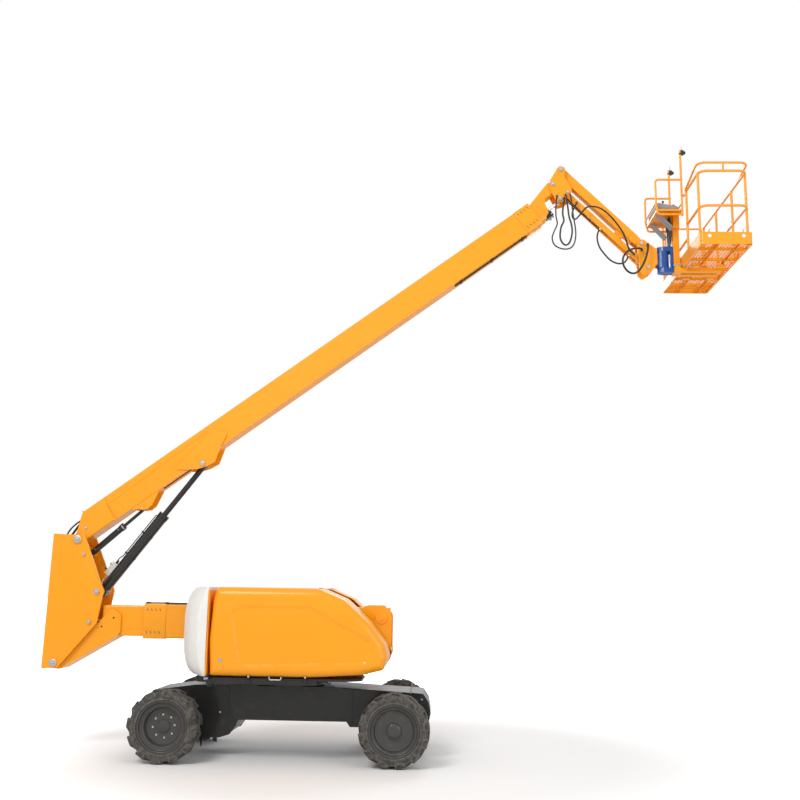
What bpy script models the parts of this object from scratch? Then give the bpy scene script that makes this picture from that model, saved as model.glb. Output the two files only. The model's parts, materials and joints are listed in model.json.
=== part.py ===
# Self-propelled articulating boom lift with a telescopic tower, a telescopic main boom and a jib.
# Units are metres, +Z is up and +X runs from the steered axle towards the platform.
# Positions are written in the axle frame, whose origin is on the ground below the steered axle.
# The root empty moves that frame so that the finished machine has its origin at its middle.
import bpy
import bmesh
import math
from mathutils import Matrix, Vector

# Overall layout
WHEELBASE = 3.12
OVERALL_WIDTH = 2.49
MACHINE_REAR_X = -2.07
FIT = 0.0003
SHAFT_SIDES = 20
NUDGES = ((0, 0, 0), (2e-5, 1e-5, 3e-5), (-3e-5, 2e-5, -1e-5), (5e-5, -4e-5, 6e-5))

# Wheels
TYRE_RADIUS = 0.4825
TYRE_WIDTH = 0.37
TYRE_GROOVE = 0.034
TYRE_LUGS = 12
TYRE_FACETS = 24
RIM_RADIUS = 0.345
HUB_FACE = 0.02
WHEEL_Y = OVERALL_WIDTH / 2 - TYRE_WIDTH / 2
KINGPIN_Y = WHEEL_Y - 0.26
KINGPIN_RADIUS = 0.025
KINGPIN_SIDES = 16
HUB_RADIUS = 0.15

# Chassis and axles
CHASSIS_HALF = 0.45
CHASSIS_TOP = 0.97
CHASSIS_SIDE = 0.03
AXLE_BEAM_HALF = 0.09
AXLE_DEPTH = 0.165
AXLE_PIN = 0.04
REAR_BEAM_HALF = 0.115
REAR_BEAM_TOP = 0.5825
SLEW_X = 1.56
SLEW_RADIUS = 0.46
SLEW_BORE = 0.30
DECK_BOTTOM = 1.03
DECK_TOP = 1.08
TURRET_HALF = 0.25
TURRET_PLATE = 0.03

# Hoods and counterweight
BODY_HALF = 1.15
HOOD_INNER = 0.34
HOOD_TOP = 2.345
HOOD_WALL = 0.025
HOOD_ROUND = 0.12
PANEL_DEPTH = 0.012
TAIL_RADIUS = BODY_HALF + 1.05
TAIL_CENTRE_X = 2.20
TRAY_HALF = BODY_HALF - 0.10
TANK_OUTER = BODY_HALF - 0.20
WEIGHT_FRONT_X = 0.52
WEIGHT_BOTTOM = 1.14
WEIGHT_TOP = 2.34
WEIGHT_FACETS = 8
TRAY_TOP = 1.125

# Tower, a horizontal telescopic tube when lowered
TOWER_PIVOT = (2.88, 1.94)
TOWER_BOTTOM = 1.59
TOWER_TOP = 2.08
TOWER_HALF = 0.18
TOWER_FRONT_X = -0.32
TUBE_WALL = 0.012
SLIDE_PLAY = 0.013
TOWER_HEAD_X = -1.25
TOWER_PIN = 0.045
TOWER_LIFT_BASE = (2.45, 1.26)
TOWER_LIFT_ROD = (1.15, 1.49)
TOWER_LEVEL_BASE = (0.10, 1.85)

# Upright between the tower and the main boom
UPRIGHT_INNER = 0.235
UPRIGHT_PLATE = 0.03
UPRIGHT_FOOT = (-1.90, 1.22)
BOOM_PIVOT = (-1.67, 3.01)
MASTER_BASE = (-1.56, 2.79)
LIFT_BASE = (-1.33, 2.25)
TOWER_LEVEL_ROD = (-1.41, 1.81)

# Main boom, written along the boom (s) and square to it (n) from its pivot
BOOM_ANGLE = 36.3
BOOM_BOTTOM = -0.055
BOOM_TOP = 0.33
BOOM_HALF = 0.15
BOOM_END = 8.60
COLLAR_START = 8.33
FLY_TAIL = 2.75
FLY_FRONT = 8.72
LIFT_ROD_SN = (2.136, -0.115)
MASTER_ROD_SN = (1.011, -0.140)
SLAVE_BASE_SN = (8.20, 0.09)

# Jib, a parallelogram below its bracket
BRACKET_PIN = (5.47, 8.70)
SLAVE_ROD = (5.58, 8.46)
JIB_PIVOT = (5.60, 8.95)
LINK_OFFSET = (0.10, -0.38)
JIB_ANGLE = -44.5
JIB_LENGTH = 1.74
JIB_DEPTH = 0.15
JIB_HALF = 0.08
LINK_DEPTH = 0.085
BARREL_BOTTOM = 0.04
JIB_EAR_SN = (JIB_LENGTH - 0.369, -0.18)
JIB_END = (JIB_PIVOT[0] + JIB_LENGTH * math.cos(math.radians(JIB_ANGLE)),
           JIB_PIVOT[1] + JIB_LENGTH * math.sin(math.radians(JIB_ANGLE)))
BRACKET_INNER = 0.125
NOSE_INNER = 0.092
PLATE = 0.025

# Rotator and platform
ROTATOR_X = JIB_END[0] + 0.349
ROTATOR_RADIUS = 0.095
ROTATOR_BOTTOM = JIB_END[1] - 0.38
ROTATOR_TOP = ROTATOR_BOTTOM + 0.27
KNUCKLE_FACE = ROTATOR_X - 0.11
YOKE_THICK = 0.07
PLATFORM_X = (ROTATOR_X + 0.27, ROTATOR_X + 1.02)
PLATFORM_HALF_Y = 1.22
FLOOR_BOTTOM = ROTATOR_BOTTOM - 0.02
FLOOR_DEPTH = 0.04
DECK_INSET = 0.055
GATE_INSET = 0.035
TOE_TOP = FLOOR_BOTTOM + 0.18
LOW_RAIL = FLOOR_BOTTOM + 0.37
MID_RAIL = FLOOR_BOTTOM + 0.60
TOP_RAIL = FLOOR_BOTTOM + 1.14
RAIL_RADIUS = 0.019
RAIL_INSET = 0.03
CONSOLE_HALF_Y = 0.38
CONSOLE_SHELF = FLOOR_BOTTOM + 0.835
GUARD_X = ROTATOR_X - 0.16
GUARD_Z = (FLOOR_BOTTOM + 0.78, FLOOR_BOTTOM + 1.35)
POLE_TOP = FLOOR_BOTTOM + 1.91
MACHINE_FRONT_X = PLATFORM_X[1] + 0.0025

# Paints and metals: colour, roughness, metallic
FINISHES = {
    "machine_orange": ((0.98, 0.39, 0.02), 0.35, 0.0),
    "chassis_black": ((0.012, 0.012, 0.011), 0.45, 0.0),
    "counterweight_white": ((0.80, 0.79, 0.76), 0.5, 0.0),
    "tyre_rubber": ((0.07, 0.065, 0.06), 0.9, 0.0),
    "rim_grey": ((0.045, 0.042, 0.04), 0.5, 0.2),
    "cylinder_black": ((0.015, 0.015, 0.015), 0.3, 0.0),
    "rod_chrome": ((0.55, 0.56, 0.58), 0.15, 1.0),
    "rotator_blue": ((0.006, 0.07, 0.35), 0.35, 0.0),
    "console_grey": ((0.35, 0.33, 0.31), 0.5, 0.1),
    "engine_grey": ((0.10, 0.11, 0.12), 0.6, 0.3),
    "hose_black": ((0.012, 0.012, 0.013), 0.5, 0.0),
}


def clear_scene():
    for old in list(bpy.data.objects):
        bpy.data.objects.remove(old, do_unlink=True)


def finish(name):
    material = bpy.data.materials.get(name)
    if material:
        return material
    colour, roughness, metallic = FINISHES[name]
    material = bpy.data.materials.new(name)
    material.use_nodes = True
    shader = material.node_tree.nodes["Principled BSDF"]
    shader.inputs["Base Color"].default_value = (*colour, 1.0)
    shader.inputs["Roughness"].default_value = roughness
    shader.inputs["Metallic"].default_value = metallic
    material.diffuse_color = (*colour, 1.0)
    return material


# Flat outlines: corners may carry a third value, the radius they are rounded to
def rounded(outline, steps=2):
    points = []
    count = len(outline)
    for i, corner in enumerate(outline):
        here = Vector(corner[:2])
        radius = corner[2] if len(corner) > 2 else 0.0
        if radius <= 0.0:
            points.append(tuple(here))
            continue
        before = (Vector(outline[i - 1][:2]) - here).normalized()
        after = (Vector(outline[(i + 1) % count][:2]) - here).normalized()
        half = before.angle(after) / 2
        reach = radius / math.tan(half)
        centre = here + (before + after).normalized() * (radius / math.sin(half))
        start = here + before * reach - centre
        end = here + after * reach - centre
        sweep = start.angle_signed(end)
        for k in range(steps + 1):
            angle = -sweep * k / steps
            turned_point = Matrix.Rotation(angle, 2) @ start
            points.append(tuple(centre + turned_point))
    return points


def inset(outline, distance):
    # Moves each side of a closed outline inwards by the distance and eases its rounded corners
    count = len(outline)
    area = sum(outline[i][0] * outline[(i + 1) % count][1] - outline[(i + 1) % count][0] * outline[i][1]
               for i in range(count))
    side = 1.0 if area > 0 else -1.0
    moved = []
    for i in range(count):
        here = Vector(outline[i][:2])
        before = (here - Vector(outline[i - 1][:2])).normalized()
        after = (Vector(outline[(i + 1) % count][:2]) - here).normalized()
        normal_a = Vector((-before.y, before.x)) * side
        normal_b = Vector((-after.y, after.x)) * side
        bisector = (normal_a + normal_b).normalized()
        point = here + bisector * distance / bisector.dot(normal_a)
        radius = outline[i][2] if len(outline[i]) > 2 else 0.0
        moved.append((point.x, point.y, max(0.3 * radius, radius - distance) if radius else 0.0))
    return moved


# Solids: each returns a loose mesh object in the piece's own frame
def solid(vertices, faces):
    mesh = bpy.data.meshes.new("solid")
    mesh.from_pydata([tuple(v) for v in vertices], [], faces)
    work = bmesh.new()
    work.from_mesh(mesh)
    bmesh.ops.remove_doubles(work, verts=work.verts, dist=1e-6)
    bmesh.ops.recalc_face_normals(work, faces=work.faces)
    work.to_mesh(mesh)
    work.free()
    loose = bpy.data.objects.new("solid", mesh)
    bpy.context.scene.collection.objects.link(loose)
    return loose


def loft(rings):
    count = len(rings[0])
    vertices = [p for ring in rings for p in ring]
    faces = [list(range(count)), list(range(len(vertices) - 1, len(vertices) - 1 - count, -1))]
    for k in range(len(rings) - 1):
        for i in range(count):
            j = (i + 1) % count
            faces.append([k * count + i, k * count + j, (k + 1) * count + j, (k + 1) * count + i])
    return solid(vertices, faces)


def plate(outline, y0, y1, steps=2):
    points = rounded(outline, steps)
    return loft([[(x, y, z) for x, z in points] for y in (y0, y1)])


def slab(outline, z0, z1, steps=2):
    points = rounded(outline, steps)
    return loft([[(x, y, z) for x, y in points] for z in (z0, z1)])


def bar(x0, x1, y0, y1, z0, z1):
    return slab([(x0, y0), (x1, y0), (x1, y1), (x0, y1)], z0, z1)


def tube_section(x0, x1, half, z0, z1, corner=0.02):
    outline = [(-half, z0, corner), (half, z0, corner), (half, z1, corner), (-half, z1, corner)]
    points = rounded(outline, 2)
    return loft([[(x, y, z) for y, z in points] for x in (x0, x1)])


def round_bar(start, end, radius, sides=16):
    return pipe([start, end], radius, sides)


def pipe(points, radius, sides=8):
    points = [Vector(p) for p in points]
    tangents = []
    for i in range(len(points)):
        ahead = points[min(i + 1, len(points) - 1)] - points[i]
        behind = points[i] - points[max(i - 1, 0)]
        tangents.append((ahead.normalized() + behind.normalized()).normalized())
    normal = tangents[0].orthogonal().normalized()
    rings = []
    for i, point in enumerate(points):
        normal = (normal - tangents[i] * normal.dot(tangents[i])).normalized()
        across = tangents[i].cross(normal)
        inner = points[i] - points[i - 1] if i else points[1] - points[0]
        stretch = 1.0 / max(0.5, tangents[i].dot(inner.normalized()))
        bend = tangents[i] - inner.normalized()
        ring = []
        for k in range(sides):
            angle = 2 * math.pi * (k + 0.5) / sides
            offset = normal * math.cos(angle) + across * math.sin(angle)
            if bend.length > 1e-6:
                direction = (bend - tangents[i] * bend.dot(tangents[i])).normalized()
                offset += direction * offset.dot(direction) * (stretch - 1.0)
            ring.append(point + offset * radius)
        rings.append(ring)
    return loft(rings)


def bent(points, radius, steps=2):
    # Rounds the inner corners of a path in space
    points = [Vector(p) for p in points]
    path = [points[0]]
    for before, here, after in zip(points, points[1:], points[2:]):
        back = (before - here).normalized()
        forth = (after - here).normalized()
        half = back.angle(forth) / 2
        if half > math.radians(88):
            path.append(here)
            continue
        reach = radius / math.tan(half)
        centre = here + (back + forth).normalized() * (radius / math.sin(half))
        start = here + back * reach - centre
        end = here + forth * reach - centre
        turn = start.rotation_difference(end)
        for k in range(steps + 1):
            step = turn.copy()
            step.angle = turn.angle * k / steps
            path.append(centre + step @ start)
    path.append(points[-1])
    return path


def turned(profile, sides=32, axis="Y", centre=(0, 0, 0)):
    # Profile of (radius, height) pairs turned about an axis
    vertices = []
    rows = []
    for radius, height in profile:
        if radius < 1e-6:
            rows.append([len(vertices)])
            vertices.append((0, 0, height))
            continue
        rows.append(list(range(len(vertices), len(vertices) + sides)))
        for k in range(sides):
            angle = 2 * math.pi * k / sides
            vertices.append((radius * math.cos(angle), radius * math.sin(angle), height))
    faces = []
    pairs = list(zip(rows, rows[1:]))
    if len(rows[0]) > 1 and len(rows[-1]) > 1:
        pairs.append((rows[-1], rows[0]))
    for low, high in pairs:
        for k in range(sides):
            j = (k + 1) % sides
            corners = [low[k % len(low)], low[j % len(low)], high[j % len(high)], high[k % len(high)]]
            corners = list(dict.fromkeys(corners))
            if len(corners) > 2:
                faces.append(corners)
    turn = {"Z": Matrix.Identity(4), "Y": Matrix.Rotation(-math.pi / 2, 4, "X"),
            "X": Matrix.Rotation(math.pi / 2, 4, "Y")}[axis]
    move = Matrix.Translation(centre) @ turn
    return solid([move @ Vector(v) for v in vertices], faces)


def pin(x, z, radius, half, y=0.0, sides=10):
    return turned([(0, y - half), (radius, y - half), (radius, y + half), (0, y + half)],
                  sides, "Y", (x, 0, z))


def shaft(x, z, radius, half):
    # Pin that turns in another piece's bore
    return pin(x, z, radius, half, 0.0, SHAFT_SIDES)


def bore(x, z, radius):
    # Cutter that clears a shaft of the radius at any angle
    return pin(x, z, (radius + FIT) / math.cos(math.pi / SHAFT_SIDES), 0.6, 0.0, SHAFT_SIDES)


def closed(mesh):
    # True where every edge lies between exactly two faces
    work = bmesh.new()
    work.from_mesh(mesh)
    bmesh.ops.remove_doubles(work, verts=work.verts, dist=1e-5)
    whole = all(len(edge.link_faces) == 2 for edge in work.edges)
    work.free()
    return whole


def combine(first, others, operation):
    # Adds or cuts one solid after the other, nudged by a hair where faces that meet leave the surface open
    for other in others:
        step = first.modifiers.new("combine", "BOOLEAN")
        step.operation = operation
        step.solver = "EXACT"
        step.object = other
        for nudge in NUDGES:
            other.location = nudge
            view = bpy.context.evaluated_depsgraph_get()
            view.update()
            result = bpy.data.meshes.new_from_object(first.evaluated_get(view))
            if closed(result):
                break
        first.modifiers.clear()
        first.data = result
        bpy.data.objects.remove(other, do_unlink=True)


def tidy(body):
    # Merges flat neighbours into larger faces, as long as the surface stays closed
    work = bmesh.new()
    work.from_mesh(body.data)
    bmesh.ops.remove_doubles(work, verts=work.verts, dist=1e-5)
    bmesh.ops.dissolve_limit(work, angle_limit=math.radians(0.02), verts=work.verts, edges=work.edges)
    if all(len(edge.link_faces) == 2 for edge in work.edges):
        work.to_mesh(body.data)
    work.free()


def piece(name, material, frame, solids, cuts=(), smooth=35):
    # Joins the solids, takes the cuts away and puts the piece in its frame
    body = solids[0]
    combine(body, list(solids[1:]), "UNION")
    combine(body, list(cuts), "DIFFERENCE")
    tidy(body)
    body.name = name
    body.data.name = name
    body.data.materials.clear()
    body.data.materials.append(finish(material))
    body.data.shade_smooth()
    body.data.set_sharp_from_angle(angle=math.radians(smooth))
    body.parent = ROOT
    body.matrix_local = frame
    return body


def copy_piece(source, name, frame):
    twin = bpy.data.objects.new(name, source.data)
    bpy.context.scene.collection.objects.link(twin)
    twin.parent = ROOT
    twin.matrix_local = frame
    return twin


def place(x, z, degrees=0.0, y=0.0):
    # Frame whose X axis rises by the angle above the ground, seen from the left side
    return Matrix.Translation((x, y, z)) @ Matrix.Rotation(-math.radians(degrees), 4, "Y")


def heading(start, end):
    return math.degrees(math.atan2(end[1] - start[1], end[0] - start[0]))


def distance(start, end):
    return math.hypot(end[0] - start[0], end[1] - start[1])


def boom_point(sn):
    angle = math.radians(BOOM_ANGLE)
    x = BOOM_PIVOT[0] + sn[0] * math.cos(angle) - sn[1] * math.sin(angle)
    z = BOOM_PIVOT[1] + sn[0] * math.sin(angle) + sn[1] * math.cos(angle)
    return (x, z)


def boom_local(point):
    angle = math.radians(BOOM_ANGLE)
    x, z = point[0] - BOOM_PIVOT[0], point[1] - BOOM_PIVOT[1]
    return (x * math.cos(angle) + z * math.sin(angle), z * math.cos(angle) - x * math.sin(angle))


def relative(points, origin):
    return [(p[0] - origin[0], p[1] - origin[1], *p[2:]) for p in points]


# Wheels
def tyre():
    base = TYRE_RADIUS - TYRE_GROOVE
    half = TYRE_WIDTH / 2
    inner = RIM_RADIUS + FIT
    carcass = turned([(inner, -half + 0.012), (inner, half - 0.012), (base - 0.03, half),
                      (base, half - 0.025), (base, -half + 0.025), (base - 0.03, -half)], TYRE_FACETS)
    lugs = []
    pitch = 2 * math.pi / TYRE_LUGS
    for side in (-1, 1):
        for k in range(TYRE_LUGS):
            start = pitch * (k + (0.5 if side > 0 else 0.0))
            lugs.append(tyre_lug(start, side, base, half, pitch))
    return piece("tyre_front_left", "tyre_rubber", place(0, TYRE_RADIUS, 0, -WHEEL_Y), [carcass] + lugs)


def tyre_lug(start, side, base, half, pitch):
    # A slanted block from the shoulder to just past the middle of the tread
    rings = []
    for y, shift, width, top in ((half - 0.003, 0.0, 0.54, -0.003), (-0.012, 0.60, 0.34, 0.0)):
        centre = start + pitch * shift
        spread = pitch * width / 2
        ring = []
        for angle, radius in ((centre - spread, base - 0.012), (centre + spread, base - 0.012),
                              (centre + spread * 0.86, TYRE_RADIUS + top),
                              (centre - spread * 0.86, TYRE_RADIUS + top)):
            ring.append((radius * math.cos(angle), side * y, radius * math.sin(angle)))
        rings.append(ring)
    return loft(rings)


def rim(name, front):
    # Deep dish with a hub disc on the steered axle, flatter with a hub cap on the fixed one
    lip = 0.168
    dish = 0.045 if front else 0.085
    if front:
        face = [(0, dish + 0.012), (0.088, dish + 0.012), (0.09, dish), (0.225, dish), (0.25, 0.125)]
    else:
        face = [(0, dish + 0.055), (0.10, dish + 0.05), (0.125, dish), (0.25, dish - 0.01), (0.275, 0.13)]
    profile = face + [(0.325, lip), (RIM_RADIUS, lip), (RIM_RADIUS, -lip), (0.29, -HUB_FACE), (0, -HUB_FACE)]
    return piece(name, "rim_grey", place(0 if front else WHEELBASE, TYRE_RADIUS, 0, -WHEEL_Y),
                 [turned([(r, -h) for r, h in profile], TYRE_FACETS)])


def wheels():
    tyre_mesh = tyre()
    rims = {"front": rim("wheel_front_left", True), "rear": rim("wheel_rear_left", False)}
    turn = Matrix.Rotation(math.pi, 4, "Z")
    for end, x in (("front", 0.0), ("rear", WHEELBASE)):
        right = place(x, TYRE_RADIUS, 0, WHEEL_Y) @ turn
        copy_piece(rims[end], f"wheel_{end}_right", right)
        copy_piece(tyre_mesh, f"tyre_{end}_right", right)
    copy_piece(tyre_mesh, "tyre_rear_left", place(WHEELBASE, TYRE_RADIUS, 0, -WHEEL_Y))


# Chassis and axles
def chassis():
    outline = [(-0.37, 0.885, 0.03), (0.25, CHASSIS_TOP), (2.20, CHASSIS_TOP), (3.50, 0.905, 0.03),
               (3.58, 0.79, 0.03), (3.61, 0.64, 0.05), (3.56, 0.43, 0.05), (2.47, 0.43), (2.42, 0.50),
               (0.88, 0.50, 0.03), (0.80, 0.255, 0.24), (-0.26, 0.255, 0.06), (-0.37, 0.42, 0.06)]
    half = CHASSIS_HALF
    inner = half - CHASSIS_SIDE
    body = plate(outline, -half, half)
    bay = bar(-0.33, 0.79, -inner, inner, 0.1, 0.80)
    front_notch = bar(-0.15, 0.15, -half - 0.1, half + 0.1, 0.1, 0.68)
    rear_notch = bar(WHEELBASE - REAR_BEAM_HALF - FIT, WHEELBASE + REAR_BEAM_HALF + FIT,
                     -half - 0.1, half + 0.1, 0.2, REAR_BEAM_TOP + FIT)
    axle_room = bar(WHEELBASE - 0.18, WHEELBASE + 0.18, -0.18, 0.18, 0.2, REAR_BEAM_TOP + 0.005)
    tunnel = bar(1.05, 2.30, -inner, inner, 0.40, 0.86)
    combine(body, [bay, front_notch, rear_notch, axle_room, tunnel], "DIFFERENCE")
    ribs = [plate([(x0, 0.82), (x0 + 0.03, 0.82), (x0 + 0.03, 0.36), (x0, 0.36)], -inner - 0.005,
                  inner + 0.005)
            for x0 in (-0.205, 0.175)]
    axle_pin = round_bar((-0.215, 0, TYRE_RADIUS), (0.215, 0, TYRE_RADIUS), AXLE_PIN)
    pedestal = turned([(SLEW_BORE, CHASSIS_TOP - 0.02), (SLEW_RADIUS + 0.03, CHASSIS_TOP - 0.02),
                       (SLEW_RADIUS + 0.03, 0.998), (SLEW_BORE, 0.998)], 20, "Z", (SLEW_X, 0, 0))
    piece("chassis", "chassis_black", place(0, 0), [body, axle_pin, pedestal] + ribs)
    ring = turned([(SLEW_BORE, 0.998 + FIT), (SLEW_RADIUS, 0.998 + FIT), (SLEW_RADIUS, DECK_BOTTOM - FIT),
                   (SLEW_BORE, DECK_BOTTOM - FIT)], 20, "Z")
    piece("slew_bearing", "engine_grey", place(SLEW_X, 0), [ring])


def front_axle():
    reach = KINGPIN_Y - 0.14
    beam = bar(-AXLE_BEAM_HALF, AXLE_BEAM_HALF, -reach, reach, TYRE_RADIUS - AXLE_DEPTH / 2,
               TYRE_RADIUS + AXLE_DEPTH / 2)
    boss = round_bar((-0.17, 0, TYRE_RADIUS), (0.17, 0, TYRE_RADIUS), 0.10)
    arms = []
    cuts = [round_bar((-0.2, 0, TYRE_RADIUS), (0.2, 0, TYRE_RADIUS), AXLE_PIN + FIT)]
    for side in (-1, 1):
        ys = sorted((side * (KINGPIN_Y - 0.20), side * (KINGPIN_Y - 0.10)))
        arms.append(bar(-0.075, 0.075, *ys, TYRE_RADIUS - 0.17, TYRE_RADIUS + 0.17))
        for low, high in ((-0.17, -0.125), (0.125, 0.17)):
            ys = sorted((side * (KINGPIN_Y - 0.18), side * KINGPIN_Y))
            arms.append(bar(-0.06, 0.06, *ys, TYRE_RADIUS + low, TYRE_RADIUS + high))
            arms.append(turned([(0, low), (0.06, low), (0.06, high), (0, high)], 14, "Z",
                               (0, side * KINGPIN_Y, TYRE_RADIUS)))
        hole = (KINGPIN_RADIUS + FIT) / math.cos(math.pi / KINGPIN_SIDES)
        cuts.append(turned([(0, -0.2), (hole, -0.2), (hole, 0.2), (0, 0.2)], KINGPIN_SIDES, "Z",
                           (0, side * KINGPIN_Y, TYRE_RADIUS)))
    piece("front_axle", "chassis_black", place(0, 0), [beam, boss] + arms, cuts)


def knuckles():
    # Kingpin body, hub drum towards the wheel and steering arm towards the tail
    hub_end = WHEEL_Y - KINGPIN_Y - HUB_FACE - FIT
    for side, name in ((-1, "steering_knuckle_left"), (1, "steering_knuckle_right")):
        kingpin = turned([(0, -0.18), (KINGPIN_RADIUS, -0.18), (KINGPIN_RADIUS, 0.18), (0, 0.18)],
                         KINGPIN_SIDES, "Z")
        block = turned([(0, -0.12), (0.055, -0.12), (0.055, 0.12), (0, 0.12)], 12, "Z")
        drum = turned([(0, side * 0.03), (0.09, side * 0.03), (0.09, side * 0.11), (HUB_RADIUS, side * 0.12),
                       (HUB_RADIUS, side * hub_end), (0, side * hub_end)], 16)
        ys = sorted((side * -0.01, side * 0.06))
        steer_arm = bar(-0.23, 0.02, *ys, -0.055, -0.015)
        piece(name, "chassis_black", place(0, TYRE_RADIUS, 0, side * KINGPIN_Y),
              [kingpin, block, drum, steer_arm])


def rear_axle():
    low = REAR_BEAM_TOP - 0.2
    end = WHEEL_Y - HUB_FACE - FIT
    flange = WHEEL_Y - 0.15
    reach = flange - 0.07
    beam = bar(-REAR_BEAM_HALF, REAR_BEAM_HALF, -reach, reach, low, REAR_BEAM_TOP)
    housing = turned([(0, -0.17), (0.12, -0.16), (0.17, -0.06), (0.17, 0.06), (0.12, 0.16), (0, 0.17)], 16,
                     "Y",
                     (0, 0, low + 0.02))
    tubes = []
    for side in (-1, 1):
        tubes.append(turned([(0, side * (reach - 0.04)), (0.095, side * (reach - 0.04)),
                             (0.095, side * (flange - 0.01)),
                             (HUB_RADIUS, side * flange), (HUB_RADIUS, side * end), (0, side * end)], 16, "Y",
                            (0, 0, TYRE_RADIUS)))
    piece("rear_axle", "chassis_black", place(WHEELBASE, 0), [beam, housing] + tubes)


# Turntable
def turntable():
    deck = slab([(0.22, -0.40, 0.05), (0.50, -0.52), (2.15, -0.52, 0.03), (2.15, 0.52, 0.03), (0.50, 0.52),
                 (0.22, 0.40, 0.05)], DECK_BOTTOM, DECK_TOP)
    cheek = [(0.28, 1.07), (2.10, 1.07), (2.62, 1.15, 0.1), (3.03, 1.49, 0.04), (3.03, 2.00, 0.10),
             (2.90, 2.11, 0.05), (2.64, 2.11, 0.05), (2.22, 1.58, 0.15), (0.28, 1.48)]
    inner = TURRET_HALF
    outer = inner + TURRET_PLATE
    cheeks = [plate(cheek, -outer, -inner), plate(cheek, inner, outer)]
    belly = plate([(2.08, 1.05), (2.10, 1.07), (2.62, 1.15), (3.03, 1.49), (3.02, 1.51), (2.60, 1.18),
                   (2.08, 1.10)], -inner - 0.01, inner + 0.01)
    tail = bar(0.30, 0.33, -inner - 0.01, inner + 0.01, 1.07, 1.45)
    saddle = bar(0.33, 0.50, -TOWER_HALF, TOWER_HALF, 1.07, TOWER_BOTTOM - 0.005)
    bosses = []
    for side in (-1, 1):
        ys = sorted((side * (TOWER_HALF + 0.006), side * (outer + 0.02)))
        bosses.append(turned([(0, ys[0]), (0.085, ys[0]), (0.085, ys[1]), (0, ys[1])], 16, "Y",
                             (TOWER_PIVOT[0], 0, TOWER_PIVOT[1])))
        bosses.append(plate([(2.33, 1.05), (2.57, 1.05), (2.51, 1.32, 0.05), (2.39, 1.32, 0.05)],
                            *sorted((side * 0.075, side * 0.105))))
        shelf = slab([(0.60, side * outer), (2.66, side * outer), (2.66, side * (TRAY_HALF - 0.15), 0.1),
                      (2.45, side * TRAY_HALF, 0.1), (0.60, side * TRAY_HALF)], TRAY_TOP - 0.03, TRAY_TOP)
        bosses.append(shelf)
        foot = bar(0.70, 2.05, *sorted((side * 0.47, side * 0.51)), 1.06, TRAY_TOP - 0.01)
        bosses.append(foot)
        bosses.append(bar(0.60, 2.60, *sorted((side * (outer - 0.01), side * (outer + 0.02))), 1.08,
                          TRAY_TOP))
        # Frame that the hood hinges on, and the block that its front edge rests on
        ys = sorted((side * (outer - 0.005), side * (HOOD_INNER - FIT)))
        for x in (0.70, 1.92):
            bosses.append(bar(x, x + 0.04, *ys, 1.40, HOOD_TOP - 0.02))
        ys = sorted((side * (HOOD_INNER - 0.03), side * (HOOD_INNER - FIT)))
        bosses.append(bar(0.68, 2.00, *ys, HOOD_TOP - 0.08, HOOD_TOP - 0.003))
        bosses.append(bar(0.582, 0.70, *sorted((side * 0.50, side * 0.85)), TRAY_TOP - 0.02, 1.1496))
    pins = [shaft(*TOWER_PIVOT, TOWER_PIN, outer + 0.03), shaft(*TOWER_LIFT_BASE, 0.03, 0.12)]
    piece("turntable", "machine_orange", place(SLEW_X, 0) @ Matrix.Translation((-SLEW_X, 0, 0)),
          [deck, belly, tail, saddle] + cheeks + bosses + pins)


def weight_plan(ease):
    # Plan of the counterweight: a shallow arc, eased in at top and bottom
    half = BODY_HALF - 0.35 * ease
    radius = TAIL_RADIUS - ease
    corner = 0.10
    limit = math.asin((half - corner) / radius)
    arc = []
    for k in range(WEIGHT_FACETS + 1):
        angle = -limit + 2 * limit * k / WEIGHT_FACETS
        arc.append((TAIL_CENTRE_X - radius * math.cos(angle), radius * math.sin(angle)))
    shoulder = arc[0][0] + corner * 0.8
    return [(WEIGHT_FRONT_X, -half), (shoulder, -half)] + arc + [(shoulder, half), (WEIGHT_FRONT_X, half)]


def counterweight():
    levels = ((WEIGHT_BOTTOM, 0.17), (1.18, 0.10), (1.30, 0.04), (1.60, 0.0), (1.95, 0.0), (2.18, 0.045),
              (WEIGHT_TOP, 0.17))
    body = loft([[(x, y, z) for x, y in weight_plan(ease)] for z, ease in levels])
    slot_half = TOWER_HALF + 0.07
    slot = bar(-1.0, 1.0, -slot_half, slot_half, TOWER_BOTTOM - 0.10, 3.0)
    cheek_slot = [bar(0.20, 1.0, *sorted((side * (TURRET_HALF - FIT),
                                          side * (TURRET_HALF + TURRET_PLATE + FIT))),
                      1.0, 1.60) for side in (-1, 1)]
    front = bar(0.28, 1.0, -slot_half, slot_half, 1.0, TOWER_BOTTOM)
    piece("counterweight", "counterweight_white", place(SLEW_X, 0) @ Matrix.Translation((-SLEW_X, 0, 0)),
          [body], [slot, front] + cheek_slot)


HOOD_OUTLINE = [(0.62, HOOD_TOP, 0.05), (0.575, 2.16), (0.545, 1.62), (0.575, 1.15, 0.02), (1.96, 1.145),
                (2.64, 1.185), (2.96, 1.26, 0.08), (3.02, 1.42, 0.08), (2.98, 1.60, 0.1), (2.77, 1.88, 0.2),
                (2.41, 2.20, 0.2), (2.06, HOOD_TOP, 0.2)]


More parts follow.
